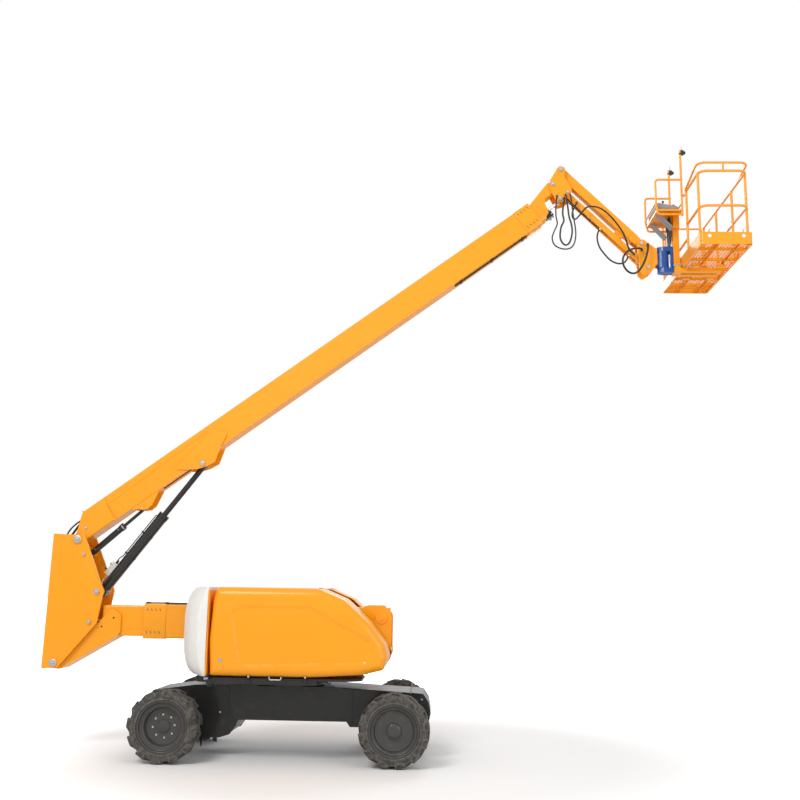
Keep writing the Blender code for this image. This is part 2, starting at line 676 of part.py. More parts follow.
def hoods():
    shape = relative(HOOD_OUTLINE, (0, HOOD_TOP))
    inside = inset(shape, HOOD_WALL)
    lowest = min(z for x, z, *r in inside) + 0.2
    inside = [(x, z - (0.3 if z < lowest else 0.0), *r) for x, z, *r in inside]
    for side, name in ((-1, "hood_left"), (1, "hood_right")):
        levels = ((HOOD_INNER, 0.0), (BODY_HALF - HOOD_ROUND, 0.0), (BODY_HALF - 0.055, 0.02),
                  (BODY_HALF - 0.018, 0.055), (BODY_HALF, HOOD_ROUND * 0.85))
        shell = loft([[(x, side * (y - HOOD_INNER), z) for x, z in rounded(inset(shape, ease), 2)]
                      for y, ease in levels])
        hollow_levels = ((HOOD_INNER - 0.05, 0.0), (BODY_HALF - HOOD_ROUND - 0.03, 0.0),
                         (BODY_HALF - HOOD_WALL, HOOD_ROUND * 0.7))
        hollow = loft([[(x, side * (y - HOOD_INNER), z) for x, z in rounded(inset(inside, ease), 2)]
                       for y, ease in hollow_levels])
        panel = relative([(0.88, 2.11, 0.06), (0.85, 1.98, 0.05), (0.98, 1.28, 0.12), (2.72, 1.34, 0.12),
                          (2.83, 1.48, 0.05), (2.82, 1.66, 0.1), (1.96, 2.10, 0.12)], (0, HOOD_TOP))
        depth = BODY_HALF - HOOD_INNER
        recess = plate(panel, side * (depth - PANEL_DEPTH), side * (depth + 0.05))
        piece(name, "machine_orange", place(0, HOOD_TOP, 0, side * HOOD_INNER), [shell], [hollow, recess], 50)


def under_hood():
    # Heavy masses behind the hoods, as plain blocks at their real place and size
    engine = slab([(0.80, 0.42), (1.95, 0.42), (1.95, TANK_OUTER), (0.80, TANK_OUTER)], TRAY_TOP + FIT, 1.98)
    piece("engine_block", "engine_grey", place(0, 0), [engine])
    tanks = slab([(0.85, -TANK_OUTER, 0.05), (1.95, -TANK_OUTER, 0.05), (1.95, -0.45, 0.05),
                  (0.85, -0.45, 0.05)],
                 TRAY_TOP + FIT, 1.75)
    piece("fluid_tank", "engine_grey", place(0, 0), [tanks])


# Tower
def tower():
    px, pz = TOWER_PIVOT
    x_front = TOWER_FRONT_X - px
    low = TOWER_BOTTOM - pz
    high = TOWER_TOP - pz
    wall = TUBE_WALL
    tube = tube_section(x_front, 0.12, TOWER_HALF, low, high)
    collar = tube_section(x_front - 0.31, x_front + 0.02, TOWER_HALF + 0.012, low - 0.008, high + 0.012)
    lug_x = TOWER_LIFT_ROD[0] - px
    lug_z = TOWER_LIFT_ROD[1] - pz
    lugs = [plate([(lug_x - 0.14, low + 0.01), (lug_x + 0.14, low + 0.01), (lug_x + 0.05, lug_z - 0.05, 0.04),
                   (lug_x - 0.05, lug_z - 0.05, 0.04)],
                   *sorted((side * 0.055, side * 0.08))) for side in (-1, 1)]
    inner_half = TOWER_HALF - wall
    cavity = bar(x_front - 0.2, -0.25, -inner_half, inner_half, low + wall, high - wall)
    fly_half = TOWER_HALF - wall - SLIDE_PLAY
    mouth = tube_section(x_front - 0.5, x_front + 0.1, fly_half + FIT, low + wall + SLIDE_PLAY - FIT,
                         high - wall - SLIDE_PLAY + FIT)
    pin_bore = bore(0, 0, TOWER_PIN)
    piece("tower_base", "machine_orange", place(px, pz), [tube, collar] + lugs, [cavity, mouth, pin_bore])
    tower_fly(fly_half, low + wall + SLIDE_PLAY + pz, high - wall - SLIDE_PLAY + pz)


def tower_fly(half, low, high):
    # Inner tube with the knuckle that carries the upright
    fx, fz = UPRIGHT_FOOT
    tail_x = 2.30
    tube = tube_section(TOWER_HEAD_X, tail_x, half, low, high)
    pads = tube_section(tail_x - 0.15, tail_x, half + SLIDE_PLAY - FIT, low - SLIDE_PLAY + FIT,
                        high + SLIDE_PLAY - FIT)
    knuckle = [(-0.96, 1.68, 0.04), (-0.97, 1.93, 0.04), (-1.11, 2.02, 0.04), (-1.30, 1.80),
               (-1.96, 1.30, 0.06),
               (-1.97, 1.14, 0.06), (-1.82, 1.13, 0.03), (-1.02, 1.60, 0.03)]
    head = plate(knuckle, -0.195, 0.195)
    throat = plate([(-1.0, 1.66), (-1.0, 2.2), (-1.4, 2.2), (-2.3, 1.4), (-2.3, 1.0), (-1.87, 1.0),
                    (-1.87, 1.20), (-1.3, 1.53)], -0.165, 0.165)
    bore_x = bar(TOWER_HEAD_X - 0.02, tail_x - TUBE_WALL, -half + TUBE_WALL, half - TUBE_WALL,
                 low + TUBE_WALL, high - TUBE_WALL)
    passage = bar(-1.3, -0.9, -0.10, 0.10, 1.70, 2.03)
    combine(head, [throat, passage], "DIFFERENCE")
    combine(tube, [pads], "UNION")
    combine(tube, [bore_x], "DIFFERENCE")
    level_pin = shaft(*TOWER_LEVEL_BASE, 0.025, half - TUBE_WALL + 0.005)
    foot_bore = bore(fx, fz, 0.045)
    piece("tower_fly", "machine_orange", place(0, 0), [tube, head, level_pin], [foot_bore])


def cylinder(name, base, rod_end, barrel_length, barrel_radius, rod_radius, eye, rod_eye, base_pin, width,
             closing, extras=(), rod_finish="rod_chrome"):
    # Barrel hinged at its base; the rod slides in it by the closing travel and its eye stays open
    angle = heading(base, rod_end)
    length = distance(base, rod_end)
    base_eye = pin(0, 0, eye, width)
    barrel = turned([(0, eye * 0.85), (barrel_radius, eye * 0.85), (barrel_radius, barrel_length),
                     (0, barrel_length)], 16, "X")
    gland = turned([(0, barrel_length - 0.06), (barrel_radius + 0.006, barrel_length - 0.06),
                    (barrel_radius + 0.006, barrel_length + 0.012), (0, barrel_length + 0.012)], 16, "X")
    bottom = eye + BARREL_BOTTOM
    core = turned([(0, bottom), (rod_radius + FIT, bottom), (rod_radius + FIT, length * 2),
                   (0, length * 2)], 12, "X")
    cuts = [core, bore(0, 0, base_pin)]
    piece(name + "_barrel", "cylinder_black", place(*base, angle), [base_eye, barrel, gland] + list(extras),
          cuts)
    start = bottom + closing + 0.01
    rod = turned([(0, start), (rod_radius, start), (rod_radius, length - rod_eye * 0.5),
                  (0, length - rod_eye * 0.5)], 12, "X")
    end_eye = pin(length, 0, rod_eye, rod_eye * 0.85)
    end_bore = pin(length, 0, rod_eye * 0.45, 0.3)
    piece(name + "_rod", rod_finish, place(*base, angle), [rod, end_eye], [end_bore])


def cylinders():
    cylinder("tower_lift", TOWER_LIFT_BASE, TOWER_LIFT_ROD, 1.17, 0.07, 0.04, 0.085, 0.05, 0.03, 0.068, 0.01)
    cylinder("tower_level", TOWER_LEVEL_BASE, TOWER_LEVEL_ROD, 1.12, 0.055, 0.03, 0.062, 0.045, 0.025, 0.05,
             0.01)
    block = bar(0.24, 0.44, -0.045, 0.045, 0.07, 0.15)
    cylinder("boom_lift", LIFT_BASE, boom_point(LIFT_ROD_SN), 1.44, 0.08, 0.0425, 0.085, 0.055, 0.035, 0.078,
             0.53, [block], "cylinder_black")
    cylinder("boom_master", MASTER_BASE, boom_point(MASTER_ROD_SN), 0.66, 0.047, 0.025, 0.05, 0.030, 0.02,
             0.046,
             0.18, (), "cylinder_black")
    manifold = bar(0.535, 0.66, -0.055, 0.055, -0.13, -0.04)
    cylinder("boom_slave", boom_point(SLAVE_BASE_SN), SLAVE_ROD, 0.62, 0.045, 0.025, 0.05, 0.035, 0.02, 0.04,
             0.18, [manifold])
    link_pin = (JIB_PIVOT[0] + LINK_OFFSET[0], JIB_PIVOT[1] + LINK_OFFSET[1])
    cylinder("jib_lift", link_pin, jib_point(JIB_EAR_SN), 0.86, 0.034, 0.02, 0.04, 0.028, 0.02, 0.03, 0.065)


# Upright
def upright():
    fx, fz = UPRIGHT_FOOT
    rear = MACHINE_REAR_X
    side_plate = [(rear + 0.03, 3.09, 0.01), (-1.57, 3.07, 0.01), (-1.23, 2.27, 0.03), (-1.30, 1.80, 0.05),
                  (-1.84, 1.15, 0.03), (rear, 1.14, 0.01)]
    inner = UPRIGHT_INNER
    outer = inner + UPRIGHT_PLATE
    plates = [plate(side_plate, -outer, -inner), plate(side_plate, inner, outer)]
    back = plate([(rear + 0.004, 1.45), (rear + 0.022, 2.72), (rear + 0.042, 2.72), (rear + 0.024, 1.45)],
                 -inner - 0.01, inner + 0.01)
    table = ((BOOM_PIVOT, 0.05, 0.02), (MASTER_BASE, 0.02, 0.015), (LIFT_BASE, 0.035, 0.015),
             (TOWER_LEVEL_ROD, 0.02, 0.015), (UPRIGHT_FOOT, 0.045, 0.015))
    pins = []
    for (x, z), radius, head in table:
        if (x, z) != TOWER_LEVEL_ROD:
            pins.append(shaft(x, z, radius, outer + head))
        for side in (-1, 1):
            middle = side * (outer + head / 2)
            pins.append(pin(x, z, radius * 1.3, head / 2 + 0.004, middle))
    for side in (-1, 1):
        # Spacers beside the eye of each cylinder
        for (x, z), radius, gap in ((LIFT_BASE, 0.065, 0.084), (MASTER_BASE, 0.035, 0.052)):
            ys = sorted((side * gap, side * (inner + 0.01)))
            pins.append(turned([(0, ys[0]), (radius, ys[0]), (radius, ys[1]), (0, ys[1])], 12, "Y",
                               (x, 0, z)))
        ys = sorted((side * 0.056, side * (inner + 0.01)))
        x, z = TOWER_LEVEL_ROD
        pins.append(turned([(0, ys[0]), (0.035, ys[0]), (0.035, ys[1]), (0, ys[1])], 12, "Y", (x, 0, z)))
    piece("upright", "machine_orange", place(0, 0), plates + [back] + pins)


# Main boom
def boom():
    wall = TUBE_WALL
    frame = place(*BOOM_PIVOT, BOOM_ANGLE)
    half = BOOM_HALF
    heel = [(0.24, BOOM_TOP, 0.03), (0.0, 0.12, 0.06), (-0.085, 0.02, 0.05), (-0.075, BOOM_BOTTOM, 0.035)]
    tube = plate([(BOOM_END, BOOM_BOTTOM), (BOOM_END, BOOM_TOP)] + heel, -half, half)
    collar = tube_section(COLLAR_START, BOOM_END + 0.004, half + 0.012, BOOM_BOTTOM - 0.012, BOOM_TOP + 0.012)
    doubler = inset([(0.59, BOOM_BOTTOM), (0.63, BOOM_TOP)] + heel, 0.012)
    big = [(1.72, BOOM_BOTTOM + 0.12, 0.03), (2.55, BOOM_BOTTOM + 0.27, 0.04), (2.72, 0.06, 0.04),
           (2.50, -0.06), (2.30, -0.20, 0.04), (2.16, -0.185, 0.04), (2.02, -0.14, 0.04), (1.88, -0.05, 0.04)]
    small = [(0.84, 0.02, 0.03), (1.40, 0.02, 0.03), (1.38, -0.06, 0.03), (1.16, -0.185, 0.035),
             (1.06, -0.195, 0.03),
             (0.88, -0.07, 0.03)]
    extras = []
    for side in (-1, 1):
        extras.append(plate(doubler, *sorted((side * (half - 0.004), side * (half + 0.015)))))
        extras.append(plate(big, *sorted((side * (half - 0.004), side * (half + 0.022)))))
        extras.append(plate(small, *sorted((side * (half - 0.03), side * (half - 0.008)))))
        for (s, n), radius, gap, head in ((LIFT_ROD_SN, 0.045, 0.060, half + 0.04),
                                          (MASTER_ROD_SN, 0.028, 0.045, half + 0.005)):
            ys = sorted((side * gap, side * head))
            extras.append(turned([(0, ys[0]), (radius, ys[0]), (radius, ys[1]), (0, ys[1])], 12, "Y",
                                 (s, 0, n)))
        ys = sorted((side * (half - 0.002), side * (UPRIGHT_INNER - 0.006)))
        extras.append(turned([(0, ys[0]), (0.075, ys[0]), (0.075, ys[1]), (0, ys[1])], 16))
    inner = half - wall
    cavity = bar(0.62, COLLAR_START + 0.1, -inner, inner, BOOM_BOTTOM + wall, BOOM_TOP - wall)
    fly_half = inner - SLIDE_PLAY
    mouth = tube_section(COLLAR_START, BOOM_END + 0.1, fly_half + FIT, BOOM_BOTTOM + wall + SLIDE_PLAY - FIT,
                         BOOM_TOP - wall - SLIDE_PLAY + FIT)
    slot = bar(LIFT_ROD_SN[0] - 0.72, LIFT_ROD_SN[0] + 0.25, -0.056, 0.056, BOOM_BOTTOM - 0.02,
               BOOM_BOTTOM + 0.02)
    piece("boom_base", "machine_orange", frame, [tube, collar] + extras,
          [cavity, mouth, slot, bore(0, 0, 0.05)])
    boom_fly(frame, fly_half)


def boom_fly(frame, half):
    low = BOOM_BOTTOM + TUBE_WALL + SLIDE_PLAY
    high = BOOM_TOP - TUBE_WALL - SLIDE_PLAY
    wall = TUBE_WALL
    tube = tube_section(FLY_TAIL, FLY_FRONT, half, low, high)
    pads = tube_section(FLY_TAIL, FLY_TAIL + 0.15, half + SLIDE_PLAY - FIT, low - SLIDE_PLAY + FIT,
                        high + SLIDE_PLAY - FIT)
    combine(tube, [pads], "UNION")
    hollow = bar(FLY_TAIL + 0.2, FLY_FRONT + 0.1, -half + wall, half - wall, low + wall, high - wall)
    combine(tube, [hollow], "DIFFERENCE")
    a_s, a_n = boom_local(BRACKET_PIN)
    nose = [(8.625, low + 0.002), (8.625, high - 0.002), (a_s - 0.05, a_n + 0.075, 0.06),
            (a_s + 0.075, a_n + 0.03, 0.06),
            (a_s + 0.05, a_n - 0.075, 0.05), (a_s - 0.143, a_n - 0.109, 0.03), (a_s - 0.223, a_n - 0.104),
            (a_s - 0.278, a_n - 0.159), (8.80, 0.03, 0.03), (8.68, low + 0.002, 0.02)]
    plates = [plate(nose, *sorted((side * NOSE_INNER, side * (NOSE_INNER + PLATE)))) for side in (-1, 1)]
    slave_pin = shaft(*SLAVE_BASE_SN, 0.02, half - wall + 0.004)
    piece("boom_fly", "machine_orange", frame, [tube, slave_pin] + plates, [bore(a_s, a_n, 0.03)])


# Jib
def jib_point(sn):
    angle = math.radians(JIB_ANGLE)
    x = JIB_PIVOT[0] + sn[0] * math.cos(angle) - sn[1] * math.sin(angle)
    z = JIB_PIVOT[1] + sn[0] * math.sin(angle) + sn[1] * math.cos(angle)
    return (x, z)


def jib():
    ax, az = BRACKET_PIN
    cx, cz = JIB_PIVOT
    dx, dz = cx + LINK_OFFSET[0], cz + LINK_OFFSET[1]
    bx, bz = SLAVE_ROD
    outline = relative([(cx - 0.02, cz + 0.075, 0.05), (cx + 0.075, cz + 0.03, 0.05),
                        (cx + 0.055, cz - 0.12, 0.06),
                        (dx + 0.07, dz + 0.05, 0.05), (dx + 0.05, dz - 0.065, 0.05),
                        (bx + 0.075, bz - 0.035, 0.06),
                        (bx - 0.045, bz - 0.065, 0.055), (ax - 0.055, az - 0.06, 0.06),
                        (ax - 0.045, az + 0.065, 0.05)],
                       BRACKET_PIN)
    inner = BRACKET_INNER
    plates = [plate(outline, *sorted((side * inner, side * (inner + PLATE)))) for side in (-1, 1)]
    pins = [shaft(x - ax, z - az, radius, inner + PLATE + 0.012) for x, z, radius in
            ((ax, az, 0.03), (cx, cz, 0.03), (dx, dz, 0.02))]
    pins += [pin(bx - ax, bz - az, 0.03, 0.061, side * 0.101) for side in (-1, 1)]
    web = pin(cx - 0.015 - ax, cz - 0.172 - az, 0.03, inner + 0.01)
    piece("jib_bracket", "machine_orange", place(ax, az), plates + pins + [web])
    frame = place(cx, cz, JIB_ANGLE)
    deep = JIB_DEPTH / 2
    arm = tube_section(0.04, JIB_LENGTH - 0.13, JIB_HALF, -deep, deep, 0.012)
    lugs = []
    for side in (-1, 1):
        ys = sorted((side * (JIB_HALF - 0.03), side * JIB_HALF))
        lugs.append(plate([(-0.07, -0.055, 0.05), (0.10, -deep + 0.003), (0.10, deep - 0.003),
                           (-0.07, 0.055, 0.05)], *ys))
        end = JIB_LENGTH
        lugs.append(plate([(end - 0.2, -deep + 0.003), (end + 0.055, -0.05, 0.045),
                           (end + 0.055, 0.05, 0.045),
                           (end - 0.2, deep - 0.003)], *ys))
        s, n = JIB_EAR_SN
        lugs.append(plate([(s - 0.09, -deep + 0.01), (s - 0.035, n - 0.035, 0.03),
                           (s + 0.035, n - 0.035, 0.03),
                           (s + 0.09, -deep + 0.01)], *sorted((side * 0.030, side * 0.040))))
    bores = [bore(0, 0, 0.03), bore(JIB_LENGTH, 0, 0.025)]
    piece("jib_arm", "machine_orange", frame, [arm] + lugs, bores)
    link_frame = place(dx, dz, JIB_ANGLE)
    deep = LINK_DEPTH / 2
    bars = [plate([(-0.04, -deep, 0.03), (JIB_LENGTH + 0.04, -deep, 0.03), (JIB_LENGTH + 0.04, deep, 0.03),
                   (-0.04, deep, 0.03)], *sorted((side * 0.048, side * 0.078))) for side in (-1, 1)]
    tie = bar(JIB_LENGTH - 0.22, JIB_LENGTH - 0.16, -0.06, 0.06, -deep + 0.005, -deep + 0.02)
    piece("jib_link", "machine_orange", link_frame, bars + [tie],
          [bore(0, 0, 0.02), bore(JIB_LENGTH, 0, 0.025)])


def jib_head():
    # Knuckle at the end of the jib, rotator and its yoke
    ux, uz = jib_point((JIB_LENGTH, 0))
    lx, lz = ux + LINK_OFFSET[0], uz + LINK_OFFSET[1]
    outline = relative([(ux - 0.07, uz + 0.04, 0.05), (ux + 0.03, uz + 0.075, 0.05),
                        (KNUCKLE_FACE, ROTATOR_TOP + 0.02, 0.02), (KNUCKLE_FACE, ROTATOR_BOTTOM + 0.05, 0.02),
                        (lx + 0.04, lz - 0.08, 0.04), (lx - 0.06, lz - 0.15, 0.03),
                        (lx - 0.13, lz - 0.08, 0.03)], (ux, uz))
    plates = [plate(outline, *sorted((side * 0.088, side * 0.113))) for side in (-1, 1)]
    pins = [shaft(0, 0, 0.025, 0.125), shaft(lx - ux, lz - uz, 0.025, 0.125)]
    face = KNUCKLE_FACE + 0.008
    web = plate(relative([(face - 0.043, ROTATOR_TOP + 0.035), (face, ROTATOR_TOP + 0.02),
                          (face, ROTATOR_BOTTOM + 0.05),
                          (face - 0.043, ROTATOR_BOTTOM + 0.04)], (ux, uz)), -0.10, 0.10)
    piece("jib_knuckle", "machine_orange", place(ux, uz), plates + pins + [web])
    body = turned([(0, ROTATOR_BOTTOM), (ROTATOR_RADIUS, ROTATOR_BOTTOM), (ROTATOR_RADIUS, ROTATOR_TOP),
                   (0, ROTATOR_TOP)], 16, "Z")
    saddle = bar(face - ROTATOR_X + FIT, -0.03, -0.07, 0.07, ROTATOR_BOTTOM + 0.03, ROTATOR_TOP - 0.03)
    piece("rotator_body", "rotator_blue", place(ROTATOR_X, 0), [body, saddle])
    yoke = []
    for low, high in ((ROTATOR_BOTTOM - 0.004 - YOKE_THICK, ROTATOR_BOTTOM - FIT),
                      (ROTATOR_TOP + FIT, ROTATOR_TOP + 0.004 + YOKE_THICK)):
        yoke.append(slab([(-0.09, -0.04, 0.035), (0.0, -0.09, 0.03), (0.15, -0.09), (0.15, 0.09),
                          (0.0, 0.09, 0.03),
                          (-0.09, 0.04, 0.035)], low, high))
    yoke.append(bar(0.105, 0.15, -0.09, 0.09, ROTATOR_BOTTOM - 0.06, ROTATOR_TOP + 0.06))
    piece("rotator_yoke", "rotator_blue", place(ROTATOR_X, 0), yoke)


# Platform
def platform_floor():
    x0, x1 = PLATFORM_X
    half = PLATFORM_HALF_Y
    edge = [(x0, -half, 0.05), (x1, -half, 0.05), (x1, half, 0.05), (x0, half, 0.05)]
    wall = 0.006
    inner = [(x0 + wall, -half + wall, 0.045), (x1 - wall, -half + wall, 0.045),
             (x1 - wall, half - wall, 0.045),
             (x0 + wall, half - wall, 0.045)]
    skirt = slab(edge, FLOOR_BOTTOM, TOE_TOP)
    combine(skirt, [slab(inner, FLOOR_BOTTOM - 0.1, TOE_TOP + 0.1)], "DIFFERENCE")
    top = FLOOR_BOTTOM + FLOOR_DEPTH
    sheet = slab([(x0 + 0.003, -half + 0.003, 0.047), (x1 - 0.003, -half + 0.003, 0.047),
                  (x1 - 0.003, half - 0.003, 0.047),
                  (x0 + 0.003, half - 0.003, 0.047)], top - 0.002, top + 0.004)
    beams = []
    for y in (-0.95, -0.48, 0.0, 0.48, 0.95):
        beams.append(bar(x0 + 0.003, x1 - 0.003, y - 0.02, y + 0.02, FLOOR_BOTTOM, top))
    for x in (x0 + 0.24, x1 - 0.20):
        beams.append(bar(x - 0.02, x + 0.02, -half + 0.003, half - 0.003, FLOOR_BOTTOM, top))
    rims = [bar(x0 + 0.003, x0 + 0.03, -half + 0.06, half - 0.06, FLOOR_BOTTOM, top),
            bar(x1 - 0.03, x1 - 0.003, -half + 0.06, half - 0.06, FLOOR_BOTTOM, top)]
    side = half - DECK_INSET
    gate_side = half - RAIL_INSET - GATE_INSET - RAIL_RADIUS - 0.006
    deck = slab([(x0 + DECK_INSET, -side), (x1 - DECK_INSET, -side), (x1 - DECK_INSET, gate_side),
                 (x0 + DECK_INSET, gate_side)], top + 0.001, top + 0.007)
    piece("platform_floor", "machine_orange", place(0, 0), [skirt, sheet, deck] + beams + rims)


def platform_rails():
    x0, x1 = PLATFORM_X[0] + RAIL_INSET, PLATFORM_X[1] - RAIL_INSET
    half = PLATFORM_HALF_Y - RAIL_INSET
    radius = RAIL_RADIUS
    gate_y = half - GATE_INSET
    rails = []
    for z in (TOP_RAIL, MID_RAIL):
        path = bent([(x0, -CONSOLE_HALF_Y - 0.04, z), (x0, -half, z), (x1, -half, z), (x1, gate_y, z)], 0.12)
        rails.append(pipe(path, radius))
        rails.append(pipe([(x0, CONSOLE_HALF_Y + 0.04, z), (x0, gate_y, z)], radius))
    rails.append(pipe([(x0, -CONSOLE_HALF_Y - 0.04, LOW_RAIL), (x0, CONSOLE_HALF_Y + 0.04, LOW_RAIL)],
                      radius))
    posts = [(x0, -half + 0.10), (x1, -half + 0.10), (x0, -CONSOLE_HALF_Y - 0.04),
             (x0, CONSOLE_HALF_Y + 0.04),
             (x0, gate_y), (x1, gate_y), (x1, -0.42), (x1, 0.42)]
    for x, y in posts:
        rails.append(round_bar((x, y, FLOOR_BOTTOM + FLOOR_DEPTH + 0.004 + FIT), (x, y, TOP_RAIL), radius, 8))
    lift = 0.12
    hoop = bent([(x0 - 0.015, -CONSOLE_HALF_Y - 0.05, TOP_RAIL + 0.012), (x0 - 0.02, -1.0, TOP_RAIL + lift),
                 (x0 - 0.02, -half - 0.02, TOP_RAIL + lift), (x1 + 0.015, -half - 0.02, TOP_RAIL + lift),
                 (x1 + 0.015, -half + 0.20, TOP_RAIL + lift * 0.7), (x1, -half + 0.42, TOP_RAIL)], 0.11)
    rails.append(pipe(hoop, radius * 0.9))
    middle = (x0 + x1) / 2
    rails.append(round_bar((middle, -half, TOP_RAIL), (middle, -half - 0.018, TOP_RAIL + lift),
                           radius * 0.8, 8))
    piece("platform_rails", "machine_orange", place(0, 0), rails)


def platform_gate():
    # Swing gate across the end away from the camera side
    x0, x1 = PLATFORM_X[0] + RAIL_INSET, PLATFORM_X[1] - RAIL_INSET
    y = PLATFORM_HALF_Y - RAIL_INSET - GATE_INSET
    radius = 0.015
    left = x0 + RAIL_RADIUS + 0.006 + radius
    right = x1 - RAIL_RADIUS - 0.006 - radius
    origin = (right, y)
    low, high = TOE_TOP + 0.05, TOP_RAIL - 0.02
    width = left - right
    frame = [pipe(bent([(0, 0, low), (0, 0, high), (width, 0, high), (width, 0, low)], 0.05), radius),
             pipe([(width, 0, low + 0.018), (0, 0, low + 0.018)], radius * 0.85),
             pipe([(0, 0, MID_RAIL), (width, 0, MID_RAIL)], radius * 0.85)]
    for z in (low + 0.12, high - 0.14):
        reach = 0.006 + radius + RAIL_RADIUS * (1 - math.cos(math.pi / 8)) - FIT
        frame.append(round_bar((0, 0, z - 0.03), (0, 0, z + 0.03), reach, 16))
    piece("platform_gate", "machine_orange", Matrix.Translation((origin[0], origin[1], 0)), frame)


def console():
    half = CONSOLE_HALF_Y
    x0, x1 = GUARD_X, PLATFORM_X[0] + RAIL_INSET - RAIL_RADIUS
    low, high = GUARD_Z
    radius = 0.016
    rail = PLATFORM_X[0] + RAIL_INSET
    tubes = []
    for side in (-1, 1):
        y = side * half
        back = rail - 0.06
        loop = bent([(back, y, low), (x0 + 0.03, y, low), (x0, y, low + 0.16), (x0, y, high),
                     (back, y, high)], 0.05)
        tubes.append(pipe(loop, radius))
        tubes.append(pipe([(back, y, low - 0.02), (back, y, POLE_TOP)], radius * 1.1))
        flat = rail - RAIL_RADIUS * math.cos(math.pi / 8) - FIT
        tubes.append(bar(back - 0.005, flat, *sorted((side * (half - 0.005), side * (half + 0.05))),
                         TOP_RAIL - 0.07, TOP_RAIL - 0.05))
    for x in (x0, back):
        tubes.append(pipe([(x, -half, low + 0.19), (x, half, low + 0.19)], radius * 0.85))
    tubes.append(bar(x0 + 0.01, back, -half + 0.01, half - 0.01, CONSOLE_SHELF, CONSOLE_SHELF + 0.01))
    piece("console_guard", "machine_orange", place(0, 0), tubes)
    seat = CONSOLE_SHELF + 0.01 + FIT
    box = plate([(x0 + 0.03, seat), (back - 0.03, seat), (back - 0.03, seat + 0.105, 0.01),
                 (x0 + 0.03, seat + 0.165, 0.01)],
                -half + 0.09, half - 0.09)
    piece("control_console", "console_grey", place(0, 0), [box])


def mast():
    x0 = ROTATOR_X + 0.15 + FIT
    x1 = PLATFORM_X[0] - 0.02
    column = bar(x0, x1, -0.085, 0.085, ROTATOR_BOTTOM - 0.074, CONSOLE_SHELF - 0.1)
    tray = bar(x0, x1, -0.14, 0.14, CONSOLE_SHELF - 0.185, CONSOLE_SHELF - FIT)
    arms = [bar(x0, PLATFORM_X[1] - 0.16, *sorted((side * 0.05, side * 0.13)), FLOOR_BOTTOM - 0.06,
                FLOOR_BOTTOM - FIT)
            for side in (-1, 1)]
    foot = bar(x0, x1 + 0.03, -0.13, 0.13, ROTATOR_BOTTOM - 0.074, FLOOR_BOTTOM - FIT)
    piece("platform_mast", "machine_orange", place(0, 0), [column, tray, foot] + arms)


# Hanging hoses: radius and the points that each one passes, from gland to gland
HOSES = {
    "nose_hose": (0.014, [
        (5.640, -0.1503, 8.455), (5.640, -0.195, 8.455), (5.630, -0.240, 8.380), (5.612, -0.250, 8.270),
        (5.605, -0.250, 8.160), (5.622, -0.250, 8.050), (5.582, -0.250, 7.960), (5.561, -0.250, 7.848),
        (5.565, -0.250, 7.746), (5.611, -0.250, 7.665), (5.668, -0.250, 7.655), (5.718, -0.250, 7.725),
        (5.748, -0.250, 7.870), (5.735, -0.250, 8.000), (5.703, -0.250, 8.120), (5.688, -0.250, 8.260),
        (5.676, -0.235, 8.390), (5.665, -0.195, 8.512), (5.665, -0.1503, 8.512)]),
    "thin_hose": (0.011, [
        (5.530, -0.1503, 8.500), (5.530, -0.190, 8.500), (5.515, -0.235, 8.420), (5.500, -0.250, 8.270),
        (5.500, -0.250, 8.120), (5.518, -0.250, 8.000), (5.470, -0.250, 7.880), (5.436, -0.250, 7.773),
        (5.463, -0.250, 7.663), (5.539, -0.250, 7.606), (5.636, -0.250, 7.585), (5.728, -0.250, 7.610),
        (5.780, -0.250, 7.690), (5.802, -0.250, 7.813), (5.796, -0.250, 7.950), (5.772, -0.250, 8.120),
        (5.755, -0.250, 8.270), (5.744, -0.235, 8.400), (5.735, -0.190, 8.522), (5.735, -0.1503, 8.522)]),
    "arch_hose": (0.013, [
        (5.850, -0.0783, 8.4087), (5.850, -0.125, 8.4087), (5.770, -0.185, 8.230), (5.765, -0.205, 8.120),
        (5.815, -0.210, 8.095), (5.900, -0.215, 8.190), (5.981, -0.215, 8.284), (6.075, -0.215, 8.303),
        (6.194, -0.215, 8.274), (6.325, -0.215, 8.173), (6.458, -0.215, 8.008), (6.556, -0.215, 7.840),
        (6.600, -0.205, 7.700), (6.645, -0.170, 7.605), (6.727, -0.125, 7.5466), (6.727, -0.0783, 7.5466)]),
    "jib_hose": (0.013, [
        (6.2264, -0.063, 7.9928), (6.1893, -0.063, 7.9550), (6.165, -0.090, 7.880), (6.155, -0.130, 7.780),
        (6.180, -0.155, 7.660), (6.235, -0.165, 7.563), (6.337, -0.170, 7.441), (6.449, -0.165, 7.385),
        (6.550, -0.140, 7.400), (6.610, -0.095, 7.470), (6.6355, -0.063, 7.5245), (6.6686, -0.063, 7.5582)]),
    "head_hose": (0.016, [
        (6.840, -0.1133, 7.610), (6.840, -0.180, 7.610), (6.790, -0.225, 7.612), (6.700, -0.232, 7.605),
        (6.600, -0.232, 7.560), (6.530, -0.232, 7.460), (6.530, -0.232, 7.340), (6.590, -0.232, 7.240),
        (6.680, -0.232, 7.200), (6.765, -0.232, 7.245), (6.835, -0.232, 7.350), (6.885, -0.232, 7.470),
        (6.915, -0.225, 7.590), (6.930, -0.180, 7.700), (6.930, -0.1133, 7.700)]),
}
HOSE_SPACING_DIAMETERS = 3.0


